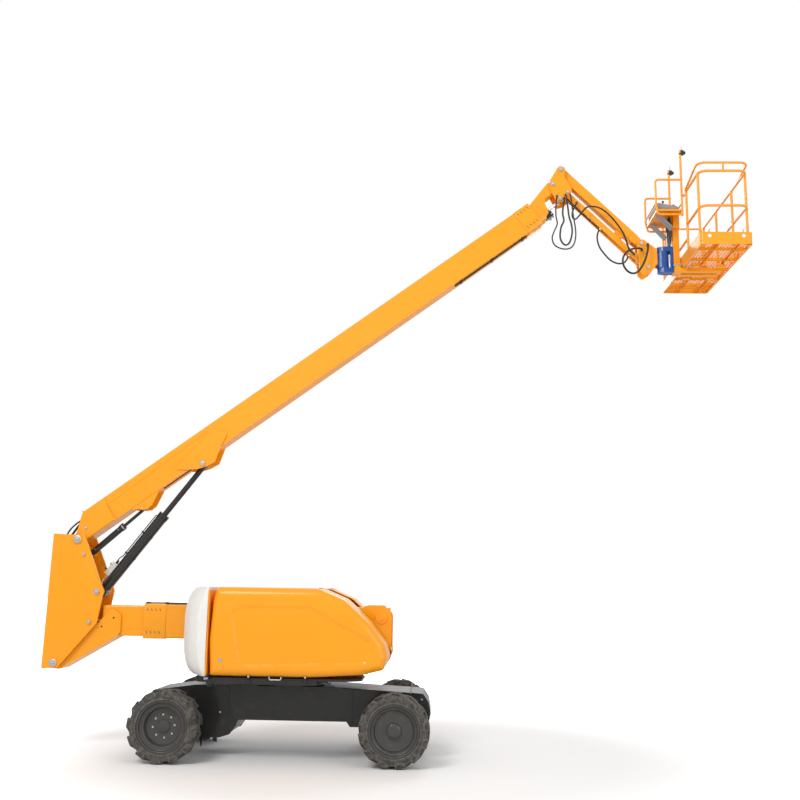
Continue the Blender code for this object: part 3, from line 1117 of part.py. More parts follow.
def smooth_route(points, spacing):
    # Even steps along a smooth curve through the points
    points = [Vector(p) for p in points]
    ends = [points[0] * 2 - points[1]] + points + [points[-1] * 2 - points[-2]]
    fine = []
    for a, b, c, d in zip(ends, ends[1:], ends[2:], ends[3:]):
        for k in range(20):
            t = k / 20
            fine.append(0.5 * ((2 * b) + (c - a) * t + (2 * a - 5 * b + 4 * c - d) * t * t
                               + (3 * b - 3 * c + d - a) * t ** 3))
    fine.append(points[-1])
    run = [0.0]
    for before, after in zip(fine, fine[1:]):
        run.append(run[-1] + (after - before).length)
    count = max(2, round(run[-1] / spacing))
    path = []
    at = 0
    for k in range(count + 1):
        target = run[-1] * k / count
        while at < len(run) - 2 and run[at + 1] < target:
            at += 1
        share = (target - run[at]) / (run[at + 1] - run[at])
        path.append(fine[at].lerp(fine[at + 1], min(1.0, share)))
    return path


def hose(name, radius, route):
    # The first and last runs stay square to the fittings they meet
    middle = smooth_route(route[1:-1], HOSE_SPACING_DIAMETERS * 2 * radius)
    path = [Vector(route[0])] + middle + [Vector(route[-1])]
    line = bpy.data.curves.new(name, "CURVE")
    line.dimensions = "3D"
    line.bevel_depth = radius
    line.bevel_resolution = 2
    line.use_fill_caps = True
    spline = line.splines.new("POLY")
    spline.points.add(len(path) - 1)
    for point, (x, y, z) in zip(spline.points, path):
        point.co = (x, y, z, 1.0)
    line.materials.append(finish("hose_black"))
    cord = bpy.data.objects.new(name, line)
    bpy.context.scene.collection.objects.link(cord)
    cord.parent = ROOT


def hoses():
    for name, (radius, route) in HOSES.items():
        hose(name, radius, route)


clear_scene()
ROOT = bpy.data.objects.new("machine_root", None)
bpy.context.scene.collection.objects.link(ROOT)
ROOT.location = (-(MACHINE_REAR_X + MACHINE_FRONT_X) / 2, 0, 0)

wheels()
chassis()
front_axle()
knuckles()
rear_axle()
turntable()
counterweight()
hoods()
under_hood()
tower()
upright()
boom()
jib()
jib_head()
cylinders()
platform_floor()
platform_rails()
platform_gate()
console()
mast()
hoses()
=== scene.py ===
import json
import math

import bmesh
import bpy
import numpy as np
from mathutils import Matrix, Vector


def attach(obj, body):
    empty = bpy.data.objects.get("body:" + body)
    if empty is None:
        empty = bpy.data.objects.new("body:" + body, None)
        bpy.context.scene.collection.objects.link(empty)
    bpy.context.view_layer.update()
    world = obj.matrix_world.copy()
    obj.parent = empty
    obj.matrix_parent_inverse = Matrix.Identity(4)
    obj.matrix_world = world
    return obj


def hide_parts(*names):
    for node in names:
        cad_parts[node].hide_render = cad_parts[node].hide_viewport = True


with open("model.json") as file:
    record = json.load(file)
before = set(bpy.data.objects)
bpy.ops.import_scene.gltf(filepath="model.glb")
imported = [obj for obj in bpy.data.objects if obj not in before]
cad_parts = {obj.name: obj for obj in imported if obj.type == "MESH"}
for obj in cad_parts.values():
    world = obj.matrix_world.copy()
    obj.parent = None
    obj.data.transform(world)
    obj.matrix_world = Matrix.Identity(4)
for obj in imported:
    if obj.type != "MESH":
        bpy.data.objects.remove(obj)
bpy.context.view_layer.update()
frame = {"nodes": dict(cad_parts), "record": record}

# The axle frame has its origin below the steered axle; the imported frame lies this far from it
SHIFT_X = -3.07128

# Wheels
TYRE_RADIUS = 0.4825
TYRE_HALF = 0.185
TREAD_BASE = TYRE_RADIUS - 0.036
RIM_RADIUS = 0.345
WHEEL_Y = 1.06
WHEELBASE = 3.12
LUGS = 12
CAVITIES = 24

# Turntable, hoods and counterweight
DECK_PAINT_Z = 1.135
BODY_HALF = 1.15
TAIL_RADIUS = 2.20
TAIL_CENTRE_X = 2.20
WEIGHT_FRONT_X = 0.52
HOOD_FACE_Y = 1.15
HOOD_INNER_Y = 0.34
HOOD_EDGE = 0.13
PANEL_RECESS = 0.022

# Pins of the upright, the boom and the jib as (x, z); points on the boom or jib as (along, across)
BOOM_PIVOT = (-1.67, 3.01)
BOOM_ANGLE = 36.3
MASTER_BASE = (-1.56, 2.79)
LIFT_BASE = (-1.33, 2.25)
TOWER_LEVEL_ROD = (-1.41, 1.81)
UPRIGHT_FOOT = (-1.90, 1.22)
LIFT_ROD_SN = (2.136, -0.115)
MASTER_ROD_SN = (1.011, -0.140)
SLAVE_BASE_SN = (8.20, 0.09)
BRACKET_PIN = (5.47, 8.70)
SLAVE_ROD = (5.58, 8.46)
JIB_PIVOT = (5.60, 8.95)
JIB_ANGLE = -44.5
JIB_EAR_SN = (1.371, -0.18)
LINK_PIN = (5.70, 8.57)
JIB_END = (6.841, 7.730)
LINK_END = (6.941, 7.350)
COLLAR_HALF_TOWER = 0.192
COLLAR_HALF_BOOM = 0.162
VALVE_SPAN = (0.24, 0.44)

# Platform, its console and guard
PX0, PX1 = 7.49, 8.18
P_HALF = 1.19
FLOOR_X = (7.46, 8.21)
FLOOR_HALF = 1.22
FLOOR_Z = 7.33
SKIRT_TOP = 7.51
TOP_Z = 8.47
MID_Z = 7.93
RAIL = 0.019
GATE_Y = 1.155
GUARD_X0 = 7.03
GUARD_BACK = 7.43
GUARD_HALF_Y = 0.38
CONSOLE_HALF_Y = 0.29
CONSOLE_SEAT = 8.1755

# Spacing of a hanging hose's points, in diameters
FINE_STEP = 1.3

# Camera fitted to the photo, and the light
CAMERA_PLACE = (3.6, -14.995, 2.33)
CAMERA_TURN = (10.9, 1.94, 0.89)
FOCAL_PIXELS = 990.0
PICTURE_PIXELS = 800.0
WORLD_LEVEL = 0.58


# Materials
def shader_nodes(name):
    material = bpy.data.materials.new(name)
    material.use_nodes = True
    nodes = material.node_tree.nodes
    links = material.node_tree.links
    return material, nodes, links, nodes["Principled BSDF"]


def noise(nodes, links, scale, detail=3.0, roughness=0.5, kind="Object"):
    coord = nodes.new("ShaderNodeTexCoord")
    texture = nodes.new("ShaderNodeTexNoise")
    texture.inputs["Scale"].default_value = scale
    texture.inputs["Detail"].default_value = detail
    texture.inputs["Roughness"].default_value = roughness
    links.new(coord.outputs[kind], texture.inputs["Vector"])
    return texture


def ramp(nodes, links, source, stops):
    node = nodes.new("ShaderNodeValToRGB")
    elements = node.color_ramp.elements
    while len(elements) < len(stops):
        elements.new(0.5)
    for element, (position, colour) in zip(elements, stops):
        element.position = position
        element.color = (*colour, 1.0) if len(colour) == 3 else colour
    links.new(source, node.inputs["Fac"])
    return node


def grey(value):
    return (value, value, value)


def mix(nodes, links, factor, first, second, mode="MIX"):
    node = nodes.new("ShaderNodeMix")
    node.data_type = "RGBA"
    node.blend_type = mode
    for value, socket in ((factor, node.inputs[0]), (first, node.inputs[6]), (second, node.inputs[7])):
        if hasattr(value, "is_linked"):
            links.new(value, socket)
        elif isinstance(value, tuple):
            socket.default_value = (*value, 1.0)
        else:
            socket.default_value = value
    return node.outputs[2]


def bump(nodes, links, height, strength, distance, before=None):
    node = nodes.new("ShaderNodeBump")
    node.inputs["Strength"].default_value = strength
    node.inputs["Distance"].default_value = distance
    links.new(height, node.inputs["Height"])
    if before:
        links.new(before, node.inputs["Normal"])
    return node.outputs["Normal"]


def edge_mask(nodes, links, radius):
    # White along the outer and inner edges of the surface
    soft = nodes.new("ShaderNodeBevel")
    soft.samples = 4
    soft.inputs["Radius"].default_value = radius
    flat = nodes.new("ShaderNodeNewGeometry")
    dot = nodes.new("ShaderNodeVectorMath")
    dot.operation = "DOT_PRODUCT"
    links.new(soft.outputs["Normal"], dot.inputs[0])
    links.new(flat.outputs["Normal"], dot.inputs[1])
    return ramp(nodes, links, dot.outputs["Value"], [(0.80, grey(1.0)), (0.985, grey(0.0))]).outputs["Color"]


def painted(name, colour, dust, roughness, wear=(0.5, 0.5, 0.5), peel=0.10, coat=0.3, dirt=0.25):
    # Sprayed enamel: slight mottling, a veil of dust, rubbed edges and orange peel
    material, nodes, links, shader = shader_nodes(name)
    broad = noise(nodes, links, 1.7, 4.0)
    fine = noise(nodes, links, 38.0, 3.0, 0.6)
    darker = tuple(c * 0.93 for c in colour)
    base = mix(nodes, links, broad.outputs["Fac"], darker, colour)
    veil = ramp(nodes, links, noise(nodes, links, 5.5, 8.0, 0.68).outputs["Fac"],
                [(0.52, grey(0.0)), (0.80, grey(dirt))])
    base = mix(nodes, links, veil.outputs["Color"], base, dust)
    rub = mix(nodes, links, ramp(nodes, links, fine.outputs["Fac"],
                                 [(0.50, grey(0.0)), (0.62, grey(1.0))]).outputs["Color"],
              grey(0.0), edge_mask(nodes, links, 0.004))
    rub_part = mix(nodes, links, 0.35, grey(0.0), rub)
    links.new(mix(nodes, links, rub_part, base, wear), shader.inputs["Base Color"])
    rough = ramp(nodes, links, noise(nodes, links, 9.0, 5.0).outputs["Fac"],
                 [(0.3, grey(roughness * 0.85)), (0.75, grey(roughness * 1.25))])
    links.new(rough.outputs["Color"], shader.inputs["Roughness"])
    wave = bump(nodes, links, noise(nodes, links, 4.0, 1.0).outputs["Fac"], 0.12, 0.01)
    links.new(bump(nodes, links, noise(nodes, links, 260.0, 2.0).outputs["Fac"], peel, 0.0006, wave),
              shader.inputs["Normal"])
    shader.inputs["Coat Weight"].default_value = coat
    shader.inputs["Specular IOR Level"].default_value = 0.32
    shader.inputs["Coat Roughness"].default_value = 0.12
    return material


def rubber(name):
    material, nodes, links, shader = shader_nodes(name)
    dust = ramp(nodes, links, noise(nodes, links, 16.0, 8.0, 0.7).outputs["Fac"],
                [(0.38, (0.028, 0.026, 0.024)), (0.62, (0.11, 0.10, 0.088)), (0.80, (0.20, 0.185, 0.16))])
    links.new(mix(nodes, links, edge_mask(nodes, links, 0.012), dust.outputs["Color"], (0.22, 0.21, 0.19)),
              shader.inputs["Base Color"])
    shader.inputs["Roughness"].default_value = 0.86
    grain = bump(nodes, links, noise(nodes, links, 22.0, 6.0, 0.7).outputs["Fac"], 0.45, 0.006)
    links.new(bump(nodes, links, noise(nodes, links, 180.0, 4.0).outputs["Fac"], 0.4, 0.001, grain),
              shader.inputs["Normal"])
    return material


def metal(name, colour, roughness, streak=0.25, metallic=1.0):
    # Bare or plated steel with fine streaks
    material, nodes, links, shader = shader_nodes(name)
    shade = ramp(nodes, links, noise(nodes, links, 24.0, 6.0, 0.7).outputs["Fac"],
                 [(0.3, tuple(c * (1 - streak) for c in colour)), (0.7, colour)])
    links.new(shade.outputs["Color"], shader.inputs["Base Color"])
    shader.inputs["Metallic"].default_value = metallic
    rough = ramp(nodes, links, noise(nodes, links, 60.0, 4.0).outputs["Fac"],
                 [(0.3, grey(roughness * 0.8)), (0.7, grey(min(1.0, roughness * 1.4)))])
    links.new(rough.outputs["Color"], shader.inputs["Roughness"])
    links.new(bump(nodes, links, noise(nodes, links, 300.0, 2.0).outputs["Fac"], 0.08, 0.0005),
              shader.inputs["Normal"])
    return material


def plastic(name, colour, roughness, grain=420.0, strength=0.15):
    material, nodes, links, shader = shader_nodes(name)
    shade = ramp(nodes, links, noise(nodes, links, 7.0, 5.0).outputs["Fac"],
                 [(0.3, tuple(c * 0.82 for c in colour)), (0.7, colour)])
    links.new(shade.outputs["Color"], shader.inputs["Base Color"])
    shader.inputs["Roughness"].default_value = roughness
    links.new(bump(nodes, links, noise(nodes, links, grain, 2.0).outputs["Fac"], strength, 0.0006),
              shader.inputs["Normal"])
    return material


ORANGE = painted("orange_enamel", (1.0, 0.37, 0.002), (0.80, 0.36, 0.06), 0.36, wear=(0.78, 0.34, 0.08),
                 dirt=0.16)
BLACK = painted("black_enamel", (0.010, 0.0095, 0.009), (0.05, 0.047, 0.042), 0.42, wear=(0.10, 0.095, 0.09),
                dirt=0.35)
WHITE = painted("white_enamel", (0.84, 0.83, 0.80), (0.62, 0.58, 0.50), 0.5, wear=(0.6, 0.57, 0.52),
                peel=0.35, coat=0.0,
                dirt=0.30)
RUBBER = rubber("tyre_tread_rubber")
RIM = painted("rim_enamel", (0.050, 0.046, 0.043), (0.12, 0.115, 0.10), 0.48, wear=(0.18, 0.17, 0.16),
              dirt=0.4)
CYLINDER = painted("cylinder_enamel", (0.018, 0.018, 0.019), (0.06, 0.06, 0.058), 0.26,
                   wear=(0.12, 0.12, 0.12), dirt=0.2)
CHROME = metal("chromed_rod", (0.68, 0.69, 0.71), 0.10, 0.06)
BLUE = painted("blue_enamel", (0.010, 0.075, 0.34), (0.10, 0.14, 0.26), 0.36, wear=(0.25, 0.30, 0.42))
ZINC = metal("zinc_steel", (0.56, 0.56, 0.54), 0.36)
GREY = painted("grey_enamel", (0.30, 0.30, 0.31), (0.34, 0.32, 0.30), 0.45, wear=(0.45, 0.45, 0.45))
CONSOLE = plastic("console_plastic", (0.36, 0.34, 0.32), 0.5)
DARK = plastic("dark_plastic", (0.022, 0.022, 0.023), 0.45)
HOSE = plastic("hose_rubber", (0.014, 0.014, 0.015), 0.42, 200.0, 0.25)
WHIP = plastic("pale_whip", (0.62, 0.62, 0.72), 0.4)
RED = plastic("red_plastic", (0.55, 0.02, 0.015), 0.4)
# Darker copy of the orange enamel: painted shade for slots and hollows on orange parts
SHADE_ORANGE = painted("orange_painted_shade", (0.50, 0.12, 0.008), (0.55, 0.25, 0.08), 0.4, wear=(0.5, 0.25, 0.1))
ALLOY = metal("cast_alloy", (0.70, 0.69, 0.64), 0.42, 0.2)
YELLOW = painted("yellow_enamel", (0.95, 0.62, 0.03), (0.8, 0.6, 0.2), 0.4, wear=(0.7, 0.5, 0.2))

FINISHES = {"machine_orange": ORANGE, "chassis_black": BLACK, "counterweight_white": WHITE,
            "tyre_rubber": RUBBER,
            "rim_grey": RIM, "cylinder_black": CYLINDER, "rod_chrome": CHROME, "rotator_blue": BLUE,
            "console_grey": CONSOLE, "engine_grey": GREY, "block_grey": GREY, "hose_black": HOSE}
SLOT_OF = {entry["node"]: entry["material_slot"] for entry in frame["record"]["subparts"]}
BODY_OF = {node: body for body, nodes in frame["record"]["behaviour"]["bodies"].items() for node in nodes}
for node_name, node in frame["nodes"].items():
    for holder in node.material_slots:
        holder.material = FINISHES[SLOT_OF[node_name]]


# Shapes: each function returns (vertices, faces) in the axle frame
def rounded(outline, steps=6):
    # Outline whose corners carry an optional radius as a third value
    points = []
    count = len(outline)
    for i, corner in enumerate(outline):
        here = Vector(corner[:2])
        radius = corner[2] if len(corner) > 2 else 0.0
        if radius <= 0.0:
            points.append(tuple(here))
            continue
        before = (Vector(outline[i - 1][:2]) - here).normalized()
        after = (Vector(outline[(i + 1) % count][:2]) - here).normalized()
        half = before.angle(after) / 2
        reach = radius / math.tan(half)
        centre = here + (before + after).normalized() * (radius / math.sin(half))
        start = here + before * reach - centre
        end = here + after * reach - centre
        sweep = start.angle_signed(end)
        for k in range(steps + 1):
            points.append(tuple(centre + Matrix.Rotation(-sweep * k / steps, 2) @ start))
    return points


def loft(rings, caps=True):
    count = len(rings[0])
    vertices = [Vector(p) for ring in rings for p in ring]
    faces = []
    if caps:
        faces = [list(range(count))[::-1], list(range(len(vertices) - count, len(vertices)))]
    for k in range(len(rings) - 1):
        for i in range(count):
            j = (i + 1) % count
            faces.append([k * count + i, k * count + j, (k + 1) * count + j, (k + 1) * count + i])
    return vertices, faces


def plate(outline, y0, y1, steps=6):
    points = rounded(outline, steps)
    return loft([[(x, y, z) for x, z in points] for y in sorted((y0, y1))])


def slab(outline, z0, z1, steps=6):
    points = rounded(outline, steps)
    return loft([[(x, y, z) for x, y in points] for z in (z0, z1)])


def box(x0, x1, y0, y1, z0, z1):
    return slab([(x0, min(y0, y1)), (x1, min(y0, y1)), (x1, max(y0, y1)), (x0, max(y0, y1))], z0, z1)


def lathe(profile, sides=48, axis="Y", centre=(0, 0, 0), loop=False):
    # Profile of (radius, height) pairs; a zero radius closes the end
    rings = []
    for radius, height in profile:
        turns = [2 * math.pi * k / sides for k in range(sides)]
        rings.append([(radius * math.cos(turn), radius * math.sin(turn), height) for turn in turns])
    if loop:
        rings.append(rings[0])
    vertices, faces = loft(rings, caps=not loop)
    turn = {"Z": Matrix.Identity(4), "Y": Matrix.Rotation(-math.pi / 2, 4, "X"),
            "X": Matrix.Rotation(math.pi / 2, 4, "Y")}[axis]
    return moved((vertices, faces), Matrix.Translation(centre) @ turn)


def moved(part, matrix):
    vertices, faces = part
    flip = matrix.determinant() < 0
    return [matrix @ Vector(v) for v in vertices], [f[::-1] for f in faces] if flip else faces


def smooth_path(points, per_span=8):
    # Catmull-Rom curve through the points
    points = [Vector(p) for p in points]
    ends = [points[0] * 2 - points[1]] + points + [points[-1] * 2 - points[-2]]
    path = []
    for a, b, c, d in zip(ends, ends[1:], ends[2:], ends[3:]):
        for k in range(per_span):
            t = k / per_span
            path.append(0.5 * ((2 * b) + (c - a) * t + (2 * a - 5 * b + 4 * c - d) * t * t
                               + (3 * b - 3 * c + d - a) * t ** 3))
    path.append(points[-1])
    return path


def bent(points, radius, steps=6):
    # Straight runs joined by arcs of one radius
    points = [Vector(p) for p in points]
    path = [points[0]]
    for before, here, after in zip(points, points[1:], points[2:]):
        back = (before - here).normalized()
        forth = (after - here).normalized()
        half = back.angle(forth) / 2
        if half > math.radians(88):
            path.append(here)
            continue
        reach = radius / math.tan(half)
        centre = here + (back + forth).normalized() * (radius / math.sin(half))
        start = here + back * reach - centre
        end = here + forth * reach - centre
        turn = start.rotation_difference(end)
        for k in range(steps + 1):
            step = turn.copy()
            step.angle = turn.angle * k / steps
            path.append(centre + step @ start)
    path.append(points[-1])
    return path


def tube(points, radius, sides=14, loop=False):
    points = [Vector(p) for p in points]
    count = len(points)
    tangents = []
    for i in range(count):
        if loop:
            tangents.append((points[(i + 1) % count] - points[i - 1]).normalized())
        else:
            tangents.append((points[min(i + 1, count - 1)] - points[max(i - 1, 0)]).normalized())
    normal = tangents[0].orthogonal().normalized()
    rings = []
    for i, point in enumerate(points):
        normal = (normal - tangents[i] * normal.dot(tangents[i])).normalized()
        across = tangents[i].cross(normal)
        ring = []
        for k in range(sides):
            angle = 2 * math.pi * k / sides
            ring.append(point + (normal * math.cos(angle) + across * math.sin(angle)) * radius)
        rings.append(ring)
    if loop:
        rings.append(rings[0])
    return loft(rings, caps=not loop)


def facing(place, direction):
    # Frame whose Z axis looks along the direction
    return Matrix.Translation(place) @ Vector(direction).to_track_quat("Z", "Y").to_matrix().to_4x4()


def hex_bolt(place, direction, size, height=None, washer=True):
    # Hexagon head on a washer
    height = height or size * 0.62
    parts = []
    base = 0.0
    if washer:
        parts.append(lathe([(0, 0), (size * 1.15, 0), (size * 1.15, size * 0.14), (0, size * 0.14)], 20, "Z"))
        base = size * 0.14
    head = []
    turns = [math.pi * k / 3 + 0.3 for k in range(6)]
    levels = ((size * 0.98, base), (size, base + height * 0.1), (size, base + height * 0.85),
              (size * 0.86, base + height))
    for radius, z in levels:
        head.append([(radius * math.cos(turn), radius * math.sin(turn), z) for turn in turns])
    parts.append(loft(head))
    frame_of = facing(place, direction)
    return [moved(part, frame_of) for part in parts]


def make(name, body, material, parts, smooth=35, bevel=0.0, segments=2, replaces=(), matrix=None):
    # One object from many parts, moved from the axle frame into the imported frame
    mesh = bpy.data.meshes.new(name)
    work = bmesh.new()
    for vertices, faces in parts:
        made = [work.verts.new(v) for v in vertices]
        for face in faces:
            corners = []
            for index in face:
                if made[index] not in corners:
                    corners.append(made[index])
            if len(corners) > 2:
                try:
                    work.faces.new(corners)
                except ValueError:
                    pass
    bmesh.ops.remove_doubles(work, verts=work.verts, dist=1e-6)
    bmesh.ops.recalc_face_normals(work, faces=work.faces)
    if matrix is not None:
        work.transform(matrix)
    work.transform(Matrix.Translation((SHIFT_X, 0, 0)))
    work.to_mesh(mesh)
    work.free()
    return finish_piece(name, mesh, body, material, smooth, bevel, segments, replaces)


def finish_piece(name, mesh, body, material, smooth, bevel, segments, replaces):
    thing = bpy.data.objects.new(name, mesh)
    bpy.context.scene.collection.objects.link(thing)
    mesh.materials.clear()
    mesh.materials.append(material)
    mesh.shade_smooth()
    mesh.set_sharp_from_angle(angle=math.radians(smooth))
    if bevel:
        ease = thing.modifiers.new("ease", "BEVEL")
        ease.width = bevel
        ease.segments = segments
        ease.limit_method = "ANGLE"
        ease.angle_limit = math.radians(smooth)
        ease.harden_normals = True
        ease.use_clamp_overlap = True
    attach(thing, body)
    for node_name in replaces:
        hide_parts(node_name)
    return thing


def eased_copy(node_name, bevel=0.004, smooth=30, segments=2, split_at=None):
    # Stands for a CAD node with the same shape and softened edges; what lies below split_at is black
    node = frame["nodes"][node_name]
    shares = [("eased", lambda z: True, None)]
    if split_at:
        shares = [("eased", lambda z: z >= split_at, None), ("lower", lambda z: z < split_at, BLACK)]
    for tail, wanted, material in shares:
        work = bmesh.new()
        work.from_mesh(node.data)
        bmesh.ops.remove_doubles(work, verts=work.verts, dist=2e-5)
        bmesh.ops.dissolve_limit(work, angle_limit=math.radians(0.5), verts=work.verts, edges=work.edges)
        if split_at:
            others = [f for f in work.faces if not wanted((node.matrix_world @ f.calc_center_median()).z)]
            bmesh.ops.delete(work, geom=others, context="FACES")
        mesh = bpy.data.meshes.new(f"{node_name}_{tail}")
        work.to_mesh(mesh)
        work.free()
        slot = "chassis_black" if material else SLOT_OF[node_name]
        finish_piece(f"{node_name}_{tail}", mesh, BODY_OF[node_name], material or FINISHES[slot],
                     smooth, bevel, segments, (node_name,))


# Width of the softened edge of each CAD node that is shown with its own shape
EASED = {
    "turntable": 0.005, "tower_base": 0.004, "tower_fly": 0.004, "upright": 0.004, "boom_base": 0.004,
    "boom_fly": 0.004, "jib_bracket": 0.004, "jib_arm": 0.004, "jib_link": 0.004, "jib_knuckle": 0.004,
    "chassis": 0.006, "front_axle": 0.004, "rear_axle": 0.004, "steering_knuckle_left": 0.004,
    "steering_knuckle_right": 0.004, "platform_mast": 0.003, "rotator_body": 0.003, "rotator_yoke": 0.003,
    "engine_block": 0.01, "fluid_tank": 0.02, "tower_lift_barrel": 0.003, "tower_level_barrel": 0.003,
    "boom_lift_barrel": 0.003, "boom_master_barrel": 0.002, "boom_slave_barrel": 0.002,
    "jib_lift_barrel": 0.002}


def eased():
    for node_name, bevel in EASED.items():
        eased_copy(node_name, bevel, split_at=DECK_PAINT_Z if node_name == "turntable" else None)


# Hoods: a moulded skin with a recessed panel
HOOD_OUTLINE = [(0.62, 2.345, 0.05), (0.575, 2.16), (0.545, 1.62), (0.575, 1.15, 0.02), (1.96, 1.145),
                (2.64, 1.185), (2.96, 1.26, 0.08), (3.02, 1.42, 0.08), (2.98, 1.60, 0.1), (2.77, 1.88, 0.2),
                (2.41, 2.20, 0.2), (2.06, 2.345, 0.2)]
PANEL_OUTLINE = [(0.90, 2.12, 0.10), (0.85, 1.98, 0.05), (0.98, 1.28, 0.13), (2.72, 1.34, 0.12),
                 (2.83, 1.48, 0.06), (2.82, 1.66, 0.1), (1.94, 2.12, 0.14)]


def resampled(outline, spacing, steps=10):
    points = rounded(outline, steps)
    result = []
    for a, b in zip(points, points[1:] + points[:1]):
        a, b = Vector(a), Vector(b)
        length = (b - a).length
        if length < 1e-9:
            continue
        count = max(1, round(length / spacing))
        result += [a.lerp(b, k / count) for k in range(count)]
    return np.array([tuple(p) for p in result])


def outline_distance(points, outline):
    # Distance to a closed outline, positive inside, with the direction out of the nearest side
    start = outline
    end = np.roll(outline, -1, axis=0)
    side = end - start
    length2 = np.maximum((side ** 2).sum(1), 1e-12)
    best = np.full(len(points), 1e9)
    direction = np.zeros((len(points), 2))
    inside = np.zeros(len(points), bool)
    area = (start[:, 0] * end[:, 1] - end[:, 0] * start[:, 1]).sum()
    for a, b, d, l2 in zip(start, end, side, length2):
        t = np.clip(((points - a) @ d) / l2, 0, 1)
        gap = points - (a + t[:, None] * d)
        far = np.hypot(gap[:, 0], gap[:, 1])
        closer = far < best
        best[closer] = far[closer]
        normal = np.array((d[1], -d[0])) * (1 if area > 0 else -1)
        direction[closer] = normal / max(np.hypot(*normal), 1e-9)
        crosses = ((a[1] > points[:, 1]) != (b[1] > points[:, 1]))
        with np.errstate(divide="ignore", invalid="ignore"):
            at = a[0] + (points[:, 1] - a[1]) * (b[0] - a[0]) / (b[1] - a[1])
        inside ^= crosses & (points[:, 0] < at)
    return np.where(inside, best, -best), direction


def ease(t):
    t = np.clip(t, 0, 1)
    return t * t * (3 - 2 * t)


def hood_skin(side):
    outline = resampled(HOOD_OUTLINE, 0.022)
    panel = resampled(PANEL_OUTLINE, 0.05, 8)
    centre = np.array((1.75, 1.68))
    count = len(outline)
    shares = [0.0, 0.012, 0.025, 0.04, 0.055, 0.075, 0.095, 0.12, 0.15,
              0.18] + list(np.linspace(0.21, 0.97, 50))
    rings = []
    for share in shares:
        points = outline + (centre - outline) * share
        depth, _ = outline_distance(points, outline)
        depth = np.maximum(depth, 0)
        fall = np.clip(1 - depth / HOOD_EDGE, 0, 1)
        y = HOOD_FACE_Y - HOOD_EDGE * (1 - np.sqrt(np.maximum(0, 1 - fall ** 2.2)))
        y -= 0.012 * ease((points[:, 0] - 2.2) / 0.8) + 0.010 * ease((points[:, 1] - 1.9) / 0.4)
        into, out_of = outline_distance(points, panel)
        wide = np.where(out_of[:, 1] > 0.35, 0.075, np.where(out_of[:, 0] > 0.6, 0.09, 0.022))
        y -= PANEL_RECESS * ease(into / wide)
        rings.append([(x, side * yy, z) for (x, z), yy in zip(points, y)])
    middle = np.mean([p[1] for p in rings[-1]])
    vertices = [Vector(p) for ring in rings for p in ring]
    faces = []
    for k in range(len(rings) - 1):
        for i in range(count):
            j = (i + 1) % count
            faces.append([k * count + i, (k + 1) * count + i, (k + 1) * count + j, k * count + j])
    last = (len(rings) - 1) * count
    vertices.append(Vector((centre[0], middle, centre[1])))
    faces += [[last + i, len(vertices) - 1, last + (i + 1) % count] for i in range(count)]
    # The band from the face's edge to the inner edge, left open along the bottom
    edge_y = HOOD_FACE_Y - HOOD_EDGE
    first = len(vertices)
    for y in (edge_y - 0.25, edge_y - 0.5, HOOD_INNER_Y):
        vertices += [Vector((x, side * y, z)) for x, z in outline]
    for k in range(3):
        low = 0 if k == 0 else first + (k - 1) * count
        high = first + k * count
        for i in range(count):
            j = (i + 1) % count
            if outline[i][1] < 1.20 and outline[j][1] < 1.20 and 0.60 < outline[i][0] < 2.90:
                continue
            faces.append([low + i, low + j, high + j, high + i])
    return vertices, faces


def hoods():
    for side, name in ((-1, "left"), (1, "right")):
        thing = make(f"hood_skin_{name}", f"{name}_hood", ORANGE, [hood_skin(side)], 40,
                     replaces=(f"hood_{name}",))
        shell = thing.modifiers.new("shell", "SOLIDIFY")
        shell.thickness = 0.014
        shell.offset = -1.0


# Wheels: solid tyres with cavities in the sidewall, dished rims


def tyre_parts():
    half = TYRE_HALF
    profile = [(RIM_RADIUS + 0.001, -half + 0.02), (RIM_RADIUS + 0.001, half - 0.02),
               (RIM_RADIUS + 0.006, half - 0.008),
               (RIM_RADIUS + 0.016, half - 0.004), (RIM_RADIUS + 0.022, half - 0.010),
               (RIM_RADIUS + 0.04, half - 0.007),
               (TREAD_BASE - 0.035, half - 0.004), (TREAD_BASE - 0.014, half - 0.010),
               (TREAD_BASE, half - 0.030),
               (TREAD_BASE + 0.001, 0.0)]
    profile += [(r, -y) for r, y in profile[::-1][1:]]
    parts = [lathe(profile[:-1], 96, "Y", (0, 0, 0), loop=True)]
    pitch = 2 * math.pi / LUGS
    for side in (-1, 1):
        for k in range(LUGS):
            start = pitch * (k + (0.5 if side > 0 else 0.0))
            parts.append(lug(start, side, pitch))
            parts.append(shoulder_block(start, side, pitch))
    return parts


def wheel_point(radius, angle, y):
    return Vector((radius * math.cos(angle), y, radius * math.sin(angle)))


def lug(start, side, pitch):
    # Slanted tread bar in six sections from the shoulder across the middle
    rings = []
    for share in (0.0, 0.06, 0.35, 0.65, 0.94, 1.0):
        y = TYRE_HALF - 0.006 + (-0.016 - TYRE_HALF + 0.006) * share
        centre = start + pitch * 0.62 * share ** 1.25
        spread = pitch * (0.29 - 0.10 * share) - (0.012 if share in (0.0, 1.0) else 0.0)
        top = TYRE_RADIUS - (0.006 if share in (0.0, 1.0) else 0.0006)
        ring = [wheel_point(TREAD_BASE - 0.014, centre - spread * 1.06, side * y),
                wheel_point(TREAD_BASE - 0.014, centre + spread * 1.06, side * y),
                wheel_point(top - 0.005, centre + spread * 0.93, side * y),
                wheel_point(top, centre + spread * 0.82, side * y),
                wheel_point(top, centre - spread * 0.82, side * y),
                wheel_point(top - 0.005, centre - spread * 0.93, side * y)]
        rings.append(ring)
    return loft(rings)


